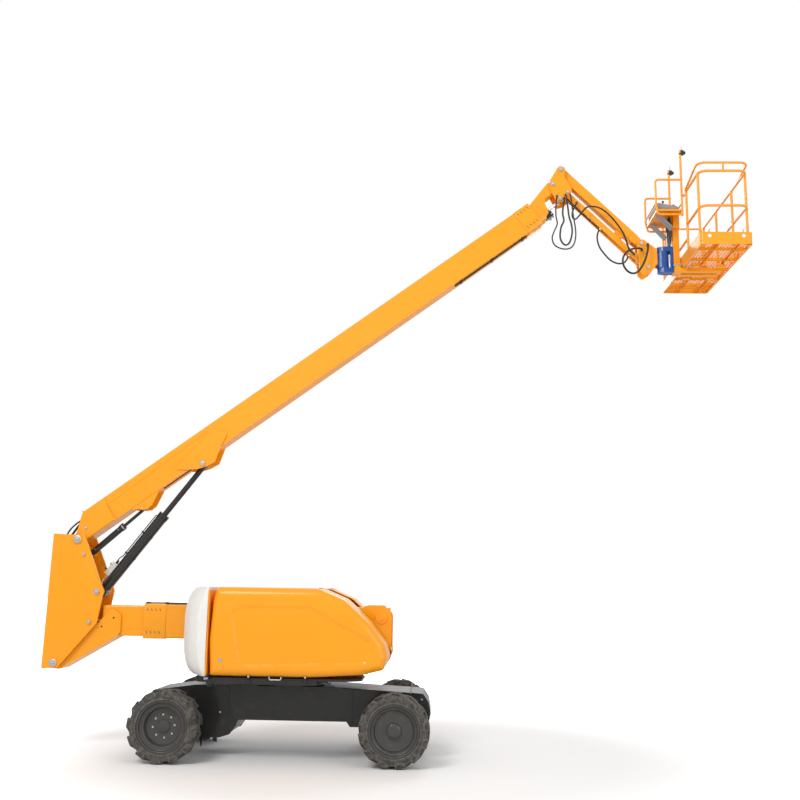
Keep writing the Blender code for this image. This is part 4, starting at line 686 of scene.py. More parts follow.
def shoulder_block(start, side, pitch):
    # Foot of the tread bar on the sidewall
    rings = []
    for radius, width, y in ((TREAD_BASE - 0.040, 0.17, TYRE_HALF - 0.006),
                             (TREAD_BASE - 0.030, 0.19, TYRE_HALF),
                             (TREAD_BASE - 0.005, 0.235, TYRE_HALF),
                             (TYRE_RADIUS - 0.010, 0.245, TYRE_HALF - 0.004),
                             (TYRE_RADIUS - 0.004, 0.235, TYRE_HALF - 0.010)):
        spread = pitch * width
        rings.append([wheel_point(radius, start - spread, side * (TYRE_HALF - 0.03)),
                      wheel_point(radius, start - spread, side * (y - 0.003)),
                      wheel_point(radius, start - spread * 0.92, side * y),
                      wheel_point(radius, start + spread * 0.92, side * y),
                      wheel_point(radius, start + spread, side * (y - 0.003)),
                      wheel_point(radius, start + spread, side * (TYRE_HALF - 0.03))])
    return loft(rings)


def cavity_shade_parts(side):
    # Dark discs of painted shade in the mouths of the round cavities, in two rows
    parts = []
    for k in range(CAVITIES):
        angle = 2 * math.pi * (k + 0.25) / CAVITIES
        outer = k % 2 == 0
        radius = TREAD_BASE - (0.022 if outer else 0.058)
        size = 0.0085 if outer else 0.0065
        face = side * (TYRE_HALF - (0.0035 if outer else 0.0055))
        spot = wheel_point(radius, angle, face)
        parts.append(moved(lathe([(0, -0.003), (size, -0.003), (size, 0.0008), (0, 0.0008)], 14, "Y"),
                           Matrix.Translation(spot)))
    return parts


def rim_parts(front):
    lip = 0.168
    dish = 0.048 if front else 0.088
    if front:
        face = [(0, dish + 0.020), (0.070, dish + 0.020), (0.078, dish + 0.017), (0.082, dish + 0.006),
                (0.094, dish + 0.006), (0.098, dish), (0.222, dish), (0.236, dish + 0.006),
                (0.246, dish + 0.028),
                (0.252, 0.115), (0.258, 0.122)]
    else:
        face = [(0, dish + 0.056), (0.006, dish + 0.050), (0.055, dish + 0.052), (0.084, dish + 0.047),
                (0.094, dish + 0.040), (0.098, dish + 0.006), (0.104, dish), (0.240, dish - 0.008),
                (0.258, dish - 0.002), (0.270, 0.118), (0.276, 0.126)]
    rest = [(0.300, 0.134), (0.306, 0.137), (0.312, 0.146), (0.316, 0.160), (0.322, lip - 0.002),
            (0.328, lip),
            (RIM_RADIUS - 0.002, lip), (RIM_RADIUS, lip - 0.004), (RIM_RADIUS, -lip), (0.32, -lip),
            (0.29, -0.02), (0, -0.02)]
    parts = [lathe([(r, -h) for r, h in face + rest], 96)]
    weld = [wheel_point(0.2855, 2 * math.pi * k / 90, -0.1295) for k in range(90)]
    parts.append(tube(weld, 0.0035, 6, loop=True))
    return parts, dish


def wheels():
    turn = Matrix.Rotation(math.pi, 4, "Z")
    tyre = tyre_parts()
    for end, x in (("front", 0.0), ("rear", WHEELBASE)):
        rim, dish = rim_parts(end == "front")
        bolts = []
        if end == "front":
            for k in range(8):
                angle = 2 * math.pi * (k + 0.12) / 8
                bolts += hex_bolt(wheel_point(0.150, angle, -dish), (0, -1, 0), 0.0135, 0.013)
        else:
            bolts += hex_bolt((0, -dish - 0.051, 0), (0, -1, 0), 0.006, 0.004, False)
            for k in range(6):
                bolts += hex_bolt(wheel_point(0.075, 2 * math.pi * k / 6, -dish - 0.048), (0, -1, 0), 0.006,
                                  0.004, False)
        for side, name in ((-1, "left"), (1, "right")):
            spot = Matrix.Translation((x, side * WHEEL_Y, TYRE_RADIUS))
            if side > 0:
                spot = spot @ turn
            twist = spot @ Matrix.Rotation(math.radians(7 if end == "front" else 19), 4, "Y")
            body = f"{end}_{name}_wheel"
            make(f"{end}_{name}_tread", body, RUBBER, [moved(p, twist) for p in tyre], 28,
                 bevel=0.0025,
                 segments=1, replaces=(f"tyre_{end}_{name}",))
            make(f"{end}_{name}_cavity_shade", body, DARK, [moved(p, twist) for p in cavity_shade_parts(-1)])
            make(f"{end}_{name}_rim", body, RIM, [moved(p, spot) for p in rim], 32,
                 replaces=(f"wheel_{end}_{name}",))
            make(f"{end}_{name}_wheel_bolts", body, ZINC if end == "front" else RIM,
                 [moved(p, spot) for p in bolts],
                 30, bevel=0.0008)


# Counterweight: one casting with a slot for the tower


def carved(parts, cutters):
    # Solid parts less the cutters, as one part
    def loose(items):
        mesh = bpy.data.meshes.new("loose")
        work = bmesh.new()
        for vertices, faces in items:
            made = [work.verts.new(v) for v in vertices]
            for face in faces:
                work.faces.new([made[i] for i in dict.fromkeys(face)])
        bmesh.ops.remove_doubles(work, verts=work.verts, dist=1e-6)
        bmesh.ops.recalc_face_normals(work, faces=work.faces)
        work.to_mesh(mesh)
        work.free()
        thing = bpy.data.objects.new("loose", mesh)
        bpy.context.scene.collection.objects.link(thing)
        return thing
    body = loose(parts)
    blades = []
    for cutter in cutters:
        blades.append(loose([cutter]))
        step = body.modifiers.new("cut", "BOOLEAN")
        step.operation = "DIFFERENCE"
        step.solver = "EXACT"
        step.object = blades[-1]
    result = body.evaluated_get(bpy.context.evaluated_depsgraph_get()).to_mesh()
    part = ([Vector(v.co) for v in result.vertices], [list(p.vertices) for p in result.polygons])
    for thing in [body] + blades:
        bpy.data.objects.remove(thing, do_unlink=True)
    return part


def weight_ring(eased, z):
    half = BODY_HALF - 0.35 * eased
    radius = TAIL_RADIUS - eased
    corner = 0.10
    limit = math.asin((half - corner) / radius)
    arc = [(TAIL_CENTRE_X - radius * math.cos(a), radius * math.sin(a)) for a in
           (-limit + 2 * limit * k / 48 for k in range(49))]
    shoulder = min(arc[0][0] + corner * 1.3, WEIGHT_FRONT_X - 0.035)
    near = [(WEIGHT_FRONT_X, -half), (shoulder, -half, 0.05)]
    far = [(shoulder, half, 0.05), (WEIGHT_FRONT_X, half)]
    return [(x, y, z) for x, y in rounded(near + arc + far, 5)]


def counterweight():
    levels = ((1.14, 0.175), (1.143, 0.155), (1.152, 0.135), (1.18, 0.10), (1.23, 0.066), (1.30, 0.04),
              (1.42, 0.014), (1.60, 0.0),
              (1.95, 0.0), (2.06, 0.012), (2.14, 0.032), (2.21, 0.060), (2.27, 0.090), (2.31, 0.122),
              (2.332, 0.152),
              (2.34, 0.175))
    body = loft([weight_ring(eased, z) for z, eased in levels])
    cutters = [box(-1.0, 1.0, -0.25, 0.25, 1.49, 3.0), box(0.28, 1.0, -0.25, 0.25, 1.0, 1.60)]
    for side in (-1, 1):
        cutters.append(box(0.20, 1.0, side * 0.24, side * 0.282, 1.0, 1.60))
    make("weight_casting", "turret", WHITE, [carved([body], cutters)], 32, 0.012, 3,
         replaces=("counterweight",))
    # Seal between the casting and the hoods
    for side, name in ((-1, "left"), (1, "right")):
        seal = box(0.522, 0.540, side * 0.40, side * 1.125, 1.17, 2.30)
        make(f"weight_seal_{name}", "turret", ORANGE, [seal], 30, 0.004)


# Platform


def floor_outline(inset, radius):
    x0, x1 = FLOOR_X[0] + inset, FLOOR_X[1] - inset
    half = FLOOR_HALF - inset
    return rounded([(x0, -half, radius), (x1, -half, radius), (x1, half, radius), (x0, half, radius)], 8)


def platform_floor():
    x0, x1 = FLOOR_X
    half = FLOOR_HALF
    edge = floor_outline(0.0, 0.05)
    inner = floor_outline(0.004, 0.046)
    rings = [[(x, y, z) for x, y in shape] for shape,
             z in ((edge, FLOOR_Z), (edge, SKIRT_TOP), (inner, SKIRT_TOP), (inner, FLOOR_Z), (edge, FLOOR_Z))]
    skirt = loft(rings, caps=False)
    holes = []
    for x in (x0 + 0.13, x1 - 0.13):
        for side in (-1, 1):
            holes.append(lathe([(0, side * half - 0.02), (0.026, side * half - 0.02),
                                (0.026, side * half + 0.02),
                                (0, side * half + 0.02)], 20, "Y", (x, 0, 7.455)))
    parts = [carved([skirt], holes)]
    parts.append(tube([(x, y, SKIRT_TOP - 0.002) for x, y in floor_outline(0.002, 0.05)], 0.005, 8,
                      loop=True))
    top = FLOOR_Z + 0.04
    for y in (-0.95, -0.48, 0.0, 0.48, 0.95):
        parts += channel((x0 + 0.005, y), (x1 - 0.005, y), 0.04, FLOOR_Z, top - 0.004)
    for x in (x0 + 0.24, x1 - 0.20):
        parts += channel((x, -half + 0.005), (x, half - 0.005), 0.045, FLOOR_Z - 0.001, top - 0.005)
    for x in (x0 + 0.016, x1 - 0.016):
        parts.append(box(x - 0.012, x + 0.012, -half + 0.05, half - 0.05, FLOOR_Z + 0.002, FLOOR_Z + 0.010))
    make("floor_frame", "platform", ORANGE, parts, 35, 0.002, replaces=("platform_floor",))
    # Expanded metal: two crossing sets of twisted strands
    strands = []
    pitch, lean = 0.042, 0.45
    width = x1 - x0 - 0.014
    count = int((2 * half + width * lean) / pitch)
    for sign in (-1, 1):
        for k in range(count + 1):
            y = -half - (width * lean if sign > 0 else 0) + pitch * k
            a, b = Vector((x0 + 0.007, y, top - 0.001)), Vector((x1 - 0.007, y + sign * lean * width,
                                                                 top - 0.001))
            low, high = -half + 0.008, half - 0.008
            d = b - a
            t0, t1 = 0.0, 1.0
            for bound, keep_above in ((low, True), (high, False)):
                t = (bound - a.y) / d.y
                if (d.y > 0) == keep_above:
                    t0 = max(t0, t)
                else:
                    t1 = min(t1, t)
            if t1 - t0 < 0.02:
                continue
            strands.append(flat_strip(a + d * t0, a + d * t1, 0.0065, 0.0022 + 0.0004 * sign))
    make("floor_mesh", "platform", ORANGE, strands, 30)


def flat_strip(a, b, width, thickness):
    along = (b - a).normalized()
    across = along.cross(Vector((0, 0, 1))).normalized() * width / 2
    up = Vector((0, 0, thickness)) + across * 0.5
    down = Vector((0, 0, -thickness)) - across * 0.5
    return loft([[p - across + down, p + across + down, p + across + up, p - across + up] for p in (a, b)])


def channel(a, b, width, z0, z1):
    # Downward open channel section between two points of the floor
    a, b = Vector((*a, 0)), Vector((*b, 0))
    across = (b - a).normalized().cross(Vector((0, 0, 1))) * width / 2
    wall = across.normalized() * 0.004
    section = ((-across, z0), (-across, z1), (across, z1), (across, z0), (across - wall, z0),
               (across - wall, z1 - 0.004), (wall - across, z1 - 0.004), (wall - across, z0))
    rings = [[p + aside + Vector((0, 0, z)) for aside, z in section] for p in (a, b)]
    return [loft(rings)]


def platform_rails():
    pipes = []
    for z in (TOP_Z, MID_Z):
        pipes.append(tube(bent([(PX0, -0.42, z), (PX0, -P_HALF, z), (PX1, -P_HALF, z), (PX1, GATE_Y, z)],
                               0.12, 10), RAIL, 16))
        pipes.append(tube([(PX0, 0.42, z), (PX0, GATE_Y, z)], RAIL, 16))
    pipes.append(tube([(PX0, -0.42, 7.70), (PX0, 0.42, 7.70)], RAIL, 16))
    posts = [(PX0, -P_HALF + 0.10), (PX1, -P_HALF + 0.10), (PX0, -0.42), (PX0, 0.42), (PX0, GATE_Y),
             (PX1, GATE_Y),
             (PX1, -0.42), (PX1, 0.42)]
    for x, y in posts:
        pipes.append(tube([(x, y, FLOOR_Z + 0.0445), (x, y, TOP_Z)], RAIL, 16))
        pipes.append(box(x - 0.024, x + 0.024, y - 0.024, y + 0.024, FLOOR_Z + 0.0445, FLOOR_Z + 0.050))
        for z in (MID_Z, TOP_Z - 0.002):
            pipes.append(weld_ring((x, y, z - RAIL * 0.8), RAIL + 0.0015))
    hoop = bent([(PX0 - 0.015, -0.43, TOP_Z + 0.012), (PX0 - 0.02, -1.0, TOP_Z + 0.12),
                 (PX0 - 0.02, -P_HALF - 0.02, TOP_Z + 0.12),
                 (PX1 + 0.015, -P_HALF - 0.02, TOP_Z + 0.12), (PX1 + 0.015, -P_HALF + 0.20, TOP_Z + 0.084),
                 (PX1, -P_HALF + 0.42, TOP_Z)], 0.11, 10)
    pipes.append(tube(hoop, RAIL * 0.9, 16))
    pipes.append(tube([((PX0 + PX1) / 2, -P_HALF, TOP_Z), ((PX0 + PX1) / 2, -P_HALF - 0.018, TOP_Z + 0.12)],
                      RAIL * 0.8, 14))
    for x, y in ((PX0 + 0.10, -P_HALF), (PX1 - 0.10, -P_HALF)):
        pipes.append(box(x - 0.006, x + 0.006, y - 0.02, y + 0.02, 7.515, 7.56))
    make("rail_tubes", "platform", ORANGE, pipes, 50, replaces=("platform_rails",))


def weld_ring(place, radius):
    x, y, z = place
    points = [(x + radius * math.cos(a), y + radius * math.sin(a), z + 0.0012 * math.sin(9 * a)) for a in
              (2 * math.pi * k / 28 for k in range(28))]
    return tube(points, 0.0028, 6, loop=True)


def platform_gate():
    right = PX1 - 2 * RAIL + RAIL - 0.006 - 0.015
    left = PX0 + RAIL + 0.006 + 0.015
    low, high = 7.56, 8.45
    parts = [tube(bent([(right, GATE_Y, low), (right, GATE_Y, high), (left, GATE_Y, high),
                        (left, GATE_Y, low)], 0.05, 8), 0.015, 14),
             tube([(left, GATE_Y, low + 0.018), (right, GATE_Y, low + 0.018)], 0.0128, 14),
             tube([(left, GATE_Y, MID_Z), (right, GATE_Y, MID_Z)], 0.0128, 14)]
    for z in (low + 0.12, high - 0.14):
        parts.append(lathe([(0, -0.03), (0.0215, -0.03), (0.0215, -0.004), (0.019, -0.002), (0.019, 0.002),
                            (0.0215, 0.004),
                            (0.0215, 0.03), (0, 0.03)], 24, "Z", (right, GATE_Y, z)))
    parts.append(box(left - 0.012, left + 0.05, GATE_Y - 0.012, GATE_Y - 0.004, 8.02, 8.10))
    make("gate_frame", "gate", ORANGE, parts, 50, replaces=("platform_gate",))
    latch = [lathe([(0, -0.05), (0.008, -0.05), (0.008, 0.03), (0, 0.03)], 16, "X",
                   (left + 0.03, GATE_Y - 0.020, 8.06)),
             lathe([(0, -0.014), (0.012, -0.012), (0.016, 0.0), (0.012, 0.012), (0, 0.014)], 18, "Y",
                   (left + 0.05, GATE_Y - 0.035, 8.06))]
    make("gate_latch", "gate", DARK, latch, 40)


def console_guard():
    tubes = []
    for side in (-1, 1):
        y = side * GUARD_HALF_Y
        route = [(GUARD_BACK, y, 8.11), (7.06, y, 8.11), (GUARD_X0, y, 8.27), (GUARD_X0, y, 8.68),
                 (GUARD_BACK, y, 8.68)]
        tubes.append(tube(bent(route, 0.05, 8), 0.016, 16))
        tubes.append(tube([(GUARD_BACK, y, 8.09), (GUARD_BACK, y, 9.17)], 0.0176, 16))
        tubes.append(box(GUARD_BACK - 0.005, 7.4720, side * 0.375, side * 0.43, 8.40, 8.42))
        for z in (8.11, 8.68):
            tubes.append(weld_ring((GUARD_BACK, y, z), 0.0195))
    for x in (GUARD_X0, GUARD_BACK):
        tubes.append(tube([(x, -GUARD_HALF_Y, 8.30), (x, GUARD_HALF_Y, 8.30)], 0.0136, 14))
    # Tray below the console, folded up along its edges
    x0, half, low, high = GUARD_X0 + 0.01, 0.37, 8.165, 8.20
    tubes += [box(x0, GUARD_BACK, -half, half, low, low + 0.004),
              box(x0, x0 + 0.004, -half, half, low, high),
              box(x0, GUARD_BACK, -half, -half + 0.004, low, high),
              box(x0, GUARD_BACK, half - 0.004, half, low, high)]
    make("guard_tubes", "platform", ORANGE, tubes, 50, replaces=("console_guard",))
    whips = []
    heads = []
    for side in (-1, 1):
        y = side * GUARD_HALF_Y
        # Switch box on the pole's top, with its strap and the pale sensing whip
        heads += [box(GUARD_BACK + 0.006, GUARD_BACK + 0.052, y - 0.024, y + 0.024, 9.09, 9.165)]
        heads.append(lathe([(0, 0), (0.026, 0), (0.028, 0.006), (0.028, 0.020), (0.020, 0.030), (0, 0.030)],
                           24, "X",
                           (GUARD_BACK + 0.052, y, 9.125)))
        heads.append(lathe([(0.0177, -0.012), (0.0200, -0.012), (0.0200, 0.012), (0.0177, 0.012)], 24, "Z",
                           (GUARD_BACK, y, 9.11)))
        route = [(GUARD_BACK + 0.02, y, 9.165), (GUARD_BACK + 0.022, y, 9.20),
                 (GUARD_BACK + 0.018, y, 9.2395)]
        whips.append(tube(smooth_path(route, 4), 0.006, 12))
    make("pole_switches", "platform", DARK, heads, 40, 0.003)
    make("pole_whips", "platform", WHIP, whips, 60)


def console_top(x):
    # Height of the console's slanting top
    return 8.336 - (x - 7.09) * 0.19


def console():
    y0, y1 = -CONSOLE_HALF_Y, CONSOLE_HALF_Y
    seat = CONSOLE_SEAT
    shell = [(7.06, seat), (7.40, seat), (7.40, 8.26, 0.012), (7.37, 8.283, 0.012), (7.09, 8.336, 0.012),
             (7.06, 8.322, 0.012)]
    parts = [plate(shell, y0, y1)]
    # Pressed ribs along the side that shows
    ribs = []
    for k in range(11):
        x = 7.085 + 0.029 * k
        ribs.append(box(x, x + 0.012, y0 - 0.005, y0 + 0.003, seat + 0.02, 8.25))
        ribs.append(box(x, x + 0.012, y1 - 0.003, y1 + 0.005, seat + 0.02, 8.25))
    make("console_shell", "platform", CONSOLE, parts + ribs, 35, 0.003,
         replaces=("control_console",))
    knobs = []
    for x, y, high in ((7.18, -0.20, 0.085), (7.26, -0.06, 0.07), (7.20, 0.12, 0.085), (7.28, 0.22, 0.06)):
        z = console_top(x) - 0.004
        profile = [(0, 0), (0.030, 0), (0.026, 0.012), (0.014, 0.022), (0.007, 0.030), (0.007, high - 0.035),
                   (0.015, high - 0.028), (0.019, high - 0.012), (0.014, high), (0, high + 0.003)]
        knobs.append(lathe(profile, 24, "Z", (x, y, z)))
    for k in range(8):
        x, y = 7.13 + 0.05 * (k % 2), -0.16 + 0.045 * k
        knobs.append(lathe([(0, 0), (0.009, 0), (0.009, 0.010), (0, 0.011)], 16, "Z",
                           (x, y, console_top(x) - 0.002)))
    make("console_knobs", "platform", DARK, knobs, 45)
    profile = [(0, 0), (0.014, 0), (0.014, 0.02), (0.026, 0.026), (0.028, 0.036), (0.020, 0.042), (0, 0.043)]
    make("console_stop", "platform", RED, [lathe(profile, 28, "Z", (7.33, -0.22, 8.286))], 40)
    # Shields below the tray, slanting to the mast, and the hose bundle that rises into the console
    slope = [(7.08, 8.155), (7.10, 8.155), (7.31, 7.93), (7.29, 7.925)]
    shields = [plate(slope, -0.30, -0.14), plate(slope, 0.14, 0.30)]
    make("console_shields", "platform", GREY, shields, 30, 0.002)
    bundle = []
    for k in range(6):
        y = -0.125 + 0.05 * k
        x = 7.31 + 0.004 * (k % 2)
        route = [(7.30, y * 0.5, 7.71), (7.305, y * 0.75, 7.80), (x - 0.004, y, 7.88),
                 (x - 0.005, y * 1.1, 8.02),
                 (x - 0.03, y * 1.2, 8.166)]
        bundle.append(tube(smooth_path(route, 6), 0.010, 12))
    make("console_bundle", "platform", HOSE, bundle, 60)


# Frames of the boom, jib and cylinders, and the fittings on them
def tilted(x, z, angle):
    return Matrix.Translation((x, 0, z)) @ Matrix.Rotation(-math.radians(angle), 4, "Y")


def between(a, b):
    return tilted(a[0], a[1], math.degrees(math.atan2(b[1] - a[1], b[0] - a[0])))


def at(frame_of, s, n):
    spot = frame_of @ Vector((s, 0, n))
    return (spot.x, spot.z)


BOOM_FRAME = tilted(*BOOM_PIVOT, BOOM_ANGLE)
JIB_FRAME = tilted(*JIB_PIVOT, JIB_ANGLE)
LIFT_FRAME = between(LIFT_BASE, at(BOOM_FRAME, *LIFT_ROD_SN))
MASTER_FRAME = between(MASTER_BASE, at(BOOM_FRAME, *MASTER_ROD_SN))
SLAVE_FRAME = between(at(BOOM_FRAME, *SLAVE_BASE_SN), SLAVE_ROD)
JIB_CYLINDER_FRAME = between(LINK_PIN, at(JIB_FRAME, *JIB_EAR_SN))


def pin_head(x, z, y, radius, side=-1):
    # Washer, bolt and its retaining flat on the end of a pin
    turn = facing((x, y, z), (0, side, 0))
    disc = lathe([(0, 0), (radius, 0), (radius, 0.0045), (radius * 0.94, 0.007), (radius * 0.60, 0.007),
                  (radius * 0.58, 0.0095),
                  (0, 0.0095)], 36, "Z")
    return [moved(disc, turn)] + hex_bolt((x, y + side * 0.0095, z), (0, side, 0), radius * 0.34,
                                          washer=False)


def pin_heads():
    # Per piece: the body and its pins as (place, half width, radius)
    upright_y = 0.2842
    bracket_y = 0.1622
    head_y = 0.1252
    groups = {
        "upright_pins": ("upright_frame", [(BOOM_PIVOT, 0.2892, 0.058), (MASTER_BASE, upright_y, 0.026),
                                           (LIFT_BASE, upright_y, 0.044), (TOWER_LEVEL_ROD, upright_y, 0.030),
                                           (UPRIGHT_FOOT, upright_y, 0.056)]),
        "bracket_pins": ("bracket", [(BRACKET_PIN, bracket_y, 0.036), (JIB_PIVOT, bracket_y, 0.036),
                                     (LINK_PIN, bracket_y, 0.026), (SLAVE_ROD, bracket_y, 0.034)]),
        "head_pins": ("jib_end", [(JIB_END, head_y, 0.030), (LINK_END, head_y, 0.030)]),
        "boom_pins": ("boom", [(at(BOOM_FRAME, *LIFT_ROD_SN), 0.1902, 0.040),
                               (at(BOOM_FRAME, *MASTER_ROD_SN), 0.1425, 0.026),
                               (at(BOOM_FRAME, 0.16, 0.10), 0.1652, 0.024)]),
    }
    for name, (body, rows) in groups.items():
        parts = []
        for (x, z), y, radius in rows:
            for side in (-1, 1):
                parts += pin_head(x, z, side * y, radius, side)
        make(name, body, ZINC, parts, 40)


def plug(x, y, z, direction, radius, depth=0.004):
    # Small flush disc
    return moved(lathe([(0, 0), (radius, 0), (radius * 0.9, depth), (0, depth)], 18, "Z"),
                 facing((x, y, z), direction))


def slanted_mark(s, n, y, side, length, width, lean):
    turn = Matrix.Translation((s, y, n)) @ Matrix.Rotation(lean, 4, "Y")
    corner = width / 2
    outline = rounded([(-corner, -length / 2, corner * 0.9), (corner, -length / 2, corner * 0.9),
                       (corner, length / 2, corner * 0.9),
                       (-corner, length / 2, corner * 0.9)], 4)
    ring = [[(x, depth, z) for x, z in outline] for depth in sorted((0, side * 0.0035))]
    return moved(loft(ring), turn)


def collar_marks():
    # Slanted slots that the wear pads are bolted through, on the tower's and the boom's collars, drawn as
    # darker orange marks of painted shade
    tower, boom = [], []
    for side in (-1, 1):
        for row, count in ((2.00, 4), (1.675, 4)):
            for k in range(count):
                tower.append(slanted_mark(-0.575 + 0.062 * k, row, side * COLLAR_HALF_TOWER, side, 0.044,
                                          0.012, -0.45))
        for row in (0.275, 0.02):
            for k in range(4):
                boom.append(slanted_mark(8.37 + 0.062 * k, row, side * COLLAR_HALF_BOOM, side, 0.044, 0.012,
                                         -0.45))
    make("tower_pad_slot_shade", "tower", SHADE_ORANGE, tower, 40)
    make("boom_pad_slot_shade", "boom", SHADE_ORANGE, boom, 40, matrix=BOOM_FRAME)
    bolts, more = [], []
    for side in (-1, 1):
        for z in (1.66, 2.01):
            bolts += hex_bolt((-0.605, side * COLLAR_HALF_TOWER, z), (0, side, 0), 0.009)
        for n in (0.03, 0.26):
            more += hex_bolt((8.345, side * COLLAR_HALF_BOOM, n), (0, side, 0), 0.008)
    make("tower_collar_bolts", "tower", ZINC, bolts, 40)
    make("boom_collar_bolts", "boom", ZINC, more, 40, matrix=BOOM_FRAME)


def heel_details():
    # Holes in the knuckle's sides, drawn as dark discs of painted shade
    dots = []
    for side in (-1, 1):
        for x, z in ((-1.075, 1.875), (-1.245, 1.745)):
            dots.append(plug(x, side * 0.1952, z, (0, side, 0), 0.014))
    make("knuckle_hole_shade", "tower_inner", DARK, dots, 40)
    # Weld beads and plugs round the doubler at the boom's heel
    beads = []
    for side in (-1, 1):
        y = side * 0.1515
        beads.append(tube([(0.613, side * 0.158, -0.05), (0.613, side * 0.158, 0.325)], 0.006, 8))
        beads.append(tube([(0.66, y, 0.205), (2.46, y, 0.255)], 0.0035, 6))
        for s, n in ((0.40, 0.235), (0.22, 0.235), (0.30, 0.03)):
            stud = lathe([(0, 0), (0.010, 0), (0.009, 0.004), (0, 0.004)], 16, "Z")
            beads.append(moved(stud, facing((s, side * 0.1652, n), (0, side, 0))))
    make("boom_heel_beads", "boom", ORANGE, beads, 40, matrix=BOOM_FRAME)
    # Hoses that arch from inside the upright into the boom's heel
    hoses = []
    for k, (y, x_low, crest) in enumerate(((-0.10, -1.905, 0.0), (-0.06, -1.855, 0.012), (-0.01, -1.80, 0.0),
                                           (0.04, -1.775, -0.01),
                                           (0.09, -1.90, 0.01))):
        route = [(x_low - 0.02, y, 2.88), (x_low, y, 3.05), (x_low + 0.05 + crest, y, 3.16),
                 (x_low + 0.14, y * 0.9, 3.255 + crest),
                 (-1.64 + 0.01 * k, y * 0.8, 3.345), (-1.58 + 0.01 * k, y * 0.8, 3.375)]
        hoses.append(tube(smooth_path(route, 7), 0.0125, 12))
    make("heel_hoses", "boom", HOSE, hoses, 60)
    clamps = [box(-0.012, 0.012, -0.115, 0.115, 0.0, 0.034)]
    frame_of = BOOM_FRAME @ Matrix.Translation((0.245, 0, 0.33))
    make("heel_hose_clamp", "boom", ZINC, [moved(part, frame_of) for part in clamps], 40, 0.003)
    # Hoses lying along the top of the tower
    strip = []
    for k in range(4):
        y = -0.165 + 0.026 * k
        route = [(-0.62, y, 2.094), (-0.40, y + 0.004, 2.096), (-0.15, y - 0.003, 2.095),
                 (0.18, y + 0.002, 2.094), (0.60, y, 2.094),
                 (1.2, y, 2.094), (1.9, y, 2.094)]
        strip.append(tube(smooth_path(route, 6), 0.0115, 10))
    make("tower_top_hoses", "tower", HOSE, strip, 60)
    lumps = [box(-0.60, -0.565, -0.185, -0.06, 2.081, 2.114), box(-0.33, -0.30, -0.185, -0.06, 2.081, 2.112),
             box(0.30, 0.33, -0.185, -0.06, 2.081, 2.112)]
    make("tower_top_clamps", "tower", DARK, lumps, 35, 0.004)


# The side of the cylinder that its ports and pipe lie on: 0 above, 90 near, 180 below
PIPE_TURN = {"master": 90, "slave": 0, "jib_lift": 180}


def cylinder_details():
    # Valve block on the boom's lift cylinder, with its pipe and plugs
    s0, s1 = VALVE_SPAN
    block = [box(s0 - 0.004, s1 + 0.004, -0.049, 0.049, 0.067, 0.154)]
    for side in (-1, 1):
        for s in (s0 + 0.035, s1 - 0.035):
            for n in (0.085, 0.135):
                block += hex_bolt((s, side * 0.049, n), (0, side, 0), 0.008)
    route = [(s0 - 0.004, -0.02, 0.10), (s0 - 0.08, -0.02, 0.10), (0.10, -0.03, 0.095), (0.085, -0.03, 0.070)]
    pipe = tube(bent(route, 0.03, 6), 0.009, 12)
    route = [(s1 + 0.004, -0.02, 0.115), (s1 + 0.10, -0.02, 0.115), (s1 + 0.16, -0.02, 0.094),
             (1.36, -0.02, 0.094), (1.375, -0.02, 0.075)]
    long_pipe = tube(bent(route, 0.03, 6), 0.0075, 12)
    make("lift_valve", "boom_lift_cylinder", ALLOY, block + [pipe], 35, 0.003, matrix=LIFT_FRAME)
    make("lift_pipe", "boom_lift_cylinder", CYLINDER, [long_pipe], 60, matrix=LIFT_FRAME)
    plugs = [lathe([(0, 0.154), (0.019, 0.154), (0.019, 0.168), (0.013, 0.172), (0.013, 0.205), (0, 0.205)],
                   20, "Z", (s0 + 0.05, 0, 0)),
             lathe([(0, 0.154), (0.016, 0.154), (0.016, 0.176), (0, 0.178)], 20, "Z", (s1 - 0.05, 0, 0)),
             lathe([(0, 0), (0.017, 0), (0.017, 0.02), (0.011, 0.024), (0.011, 0.05), (0, 0.05)], 20, "X",
                   (s1 + 0.004, 0.025, 0.11))]
    make("lift_valve_plugs", "boom_lift_cylinder", DARK, plugs, 40, matrix=LIFT_FRAME)
    bands = []
    for s in (0.66, 1.05):
        bands.append(lathe([(0.0805, -0.014), (0.083, -0.014), (0.083, 0.014), (0.0805, 0.014)], 40, "X",
                           (s, 0, 0), loop=True))
        bands.append(box(s - 0.012, s + 0.012, -0.034, -0.006, 0.080, 0.106))
    make("lift_bands", "boom_lift_cylinder", CYLINDER, bands, 40, matrix=LIFT_FRAME)
    # Ports and pipes of the levelling cylinders
    for name, body, frame_of, radius, length in (("master", "master_cylinder", MASTER_FRAME, 0.047, 0.66),
                                                 ("slave", "slave_cylinder", SLAVE_FRAME, 0.045, 0.62),
                                                 ("jib_lift", "jib_cylinder", JIB_CYLINDER_FRAME, 0.034,
                                                  0.86)):
        ports, pipes = [], []
        for s in (0.12, length - 0.09):
            ports.append(lathe([(0, radius - 0.004), (0.014, radius - 0.004), (0.014, radius + 0.018),
                                (0.010, radius + 0.022),
                                (0, radius + 0.022)], 6, "Z", (s, 0, 0)))
        ports += [lathe([(radius, length - 0.03), (radius + 0.009, length - 0.03),
                         (radius + 0.009, length - 0.012),
                         (radius, length - 0.012)], 36, "X", loop=True)]
        route = [(0.12, 0, radius + 0.02), (0.12, -0.012, radius + 0.030), (0.20, -0.022, radius + 0.014),
                 (length - 0.17, -0.022, radius + 0.014), (length - 0.09, -0.012, radius + 0.030),
                 (length - 0.09, 0, radius + 0.02)]
        pipes.append(tube(bent(route, 0.012, 5), 0.0062, 10))
        turn = Matrix.Rotation(math.radians(PIPE_TURN[name]), 4, "X")
        make(name + "_ports", body, ZINC, ports, 40, matrix=frame_of @ turn)
        make(name + "_pipe", body, CYLINDER, pipes, 60, matrix=frame_of @ turn)


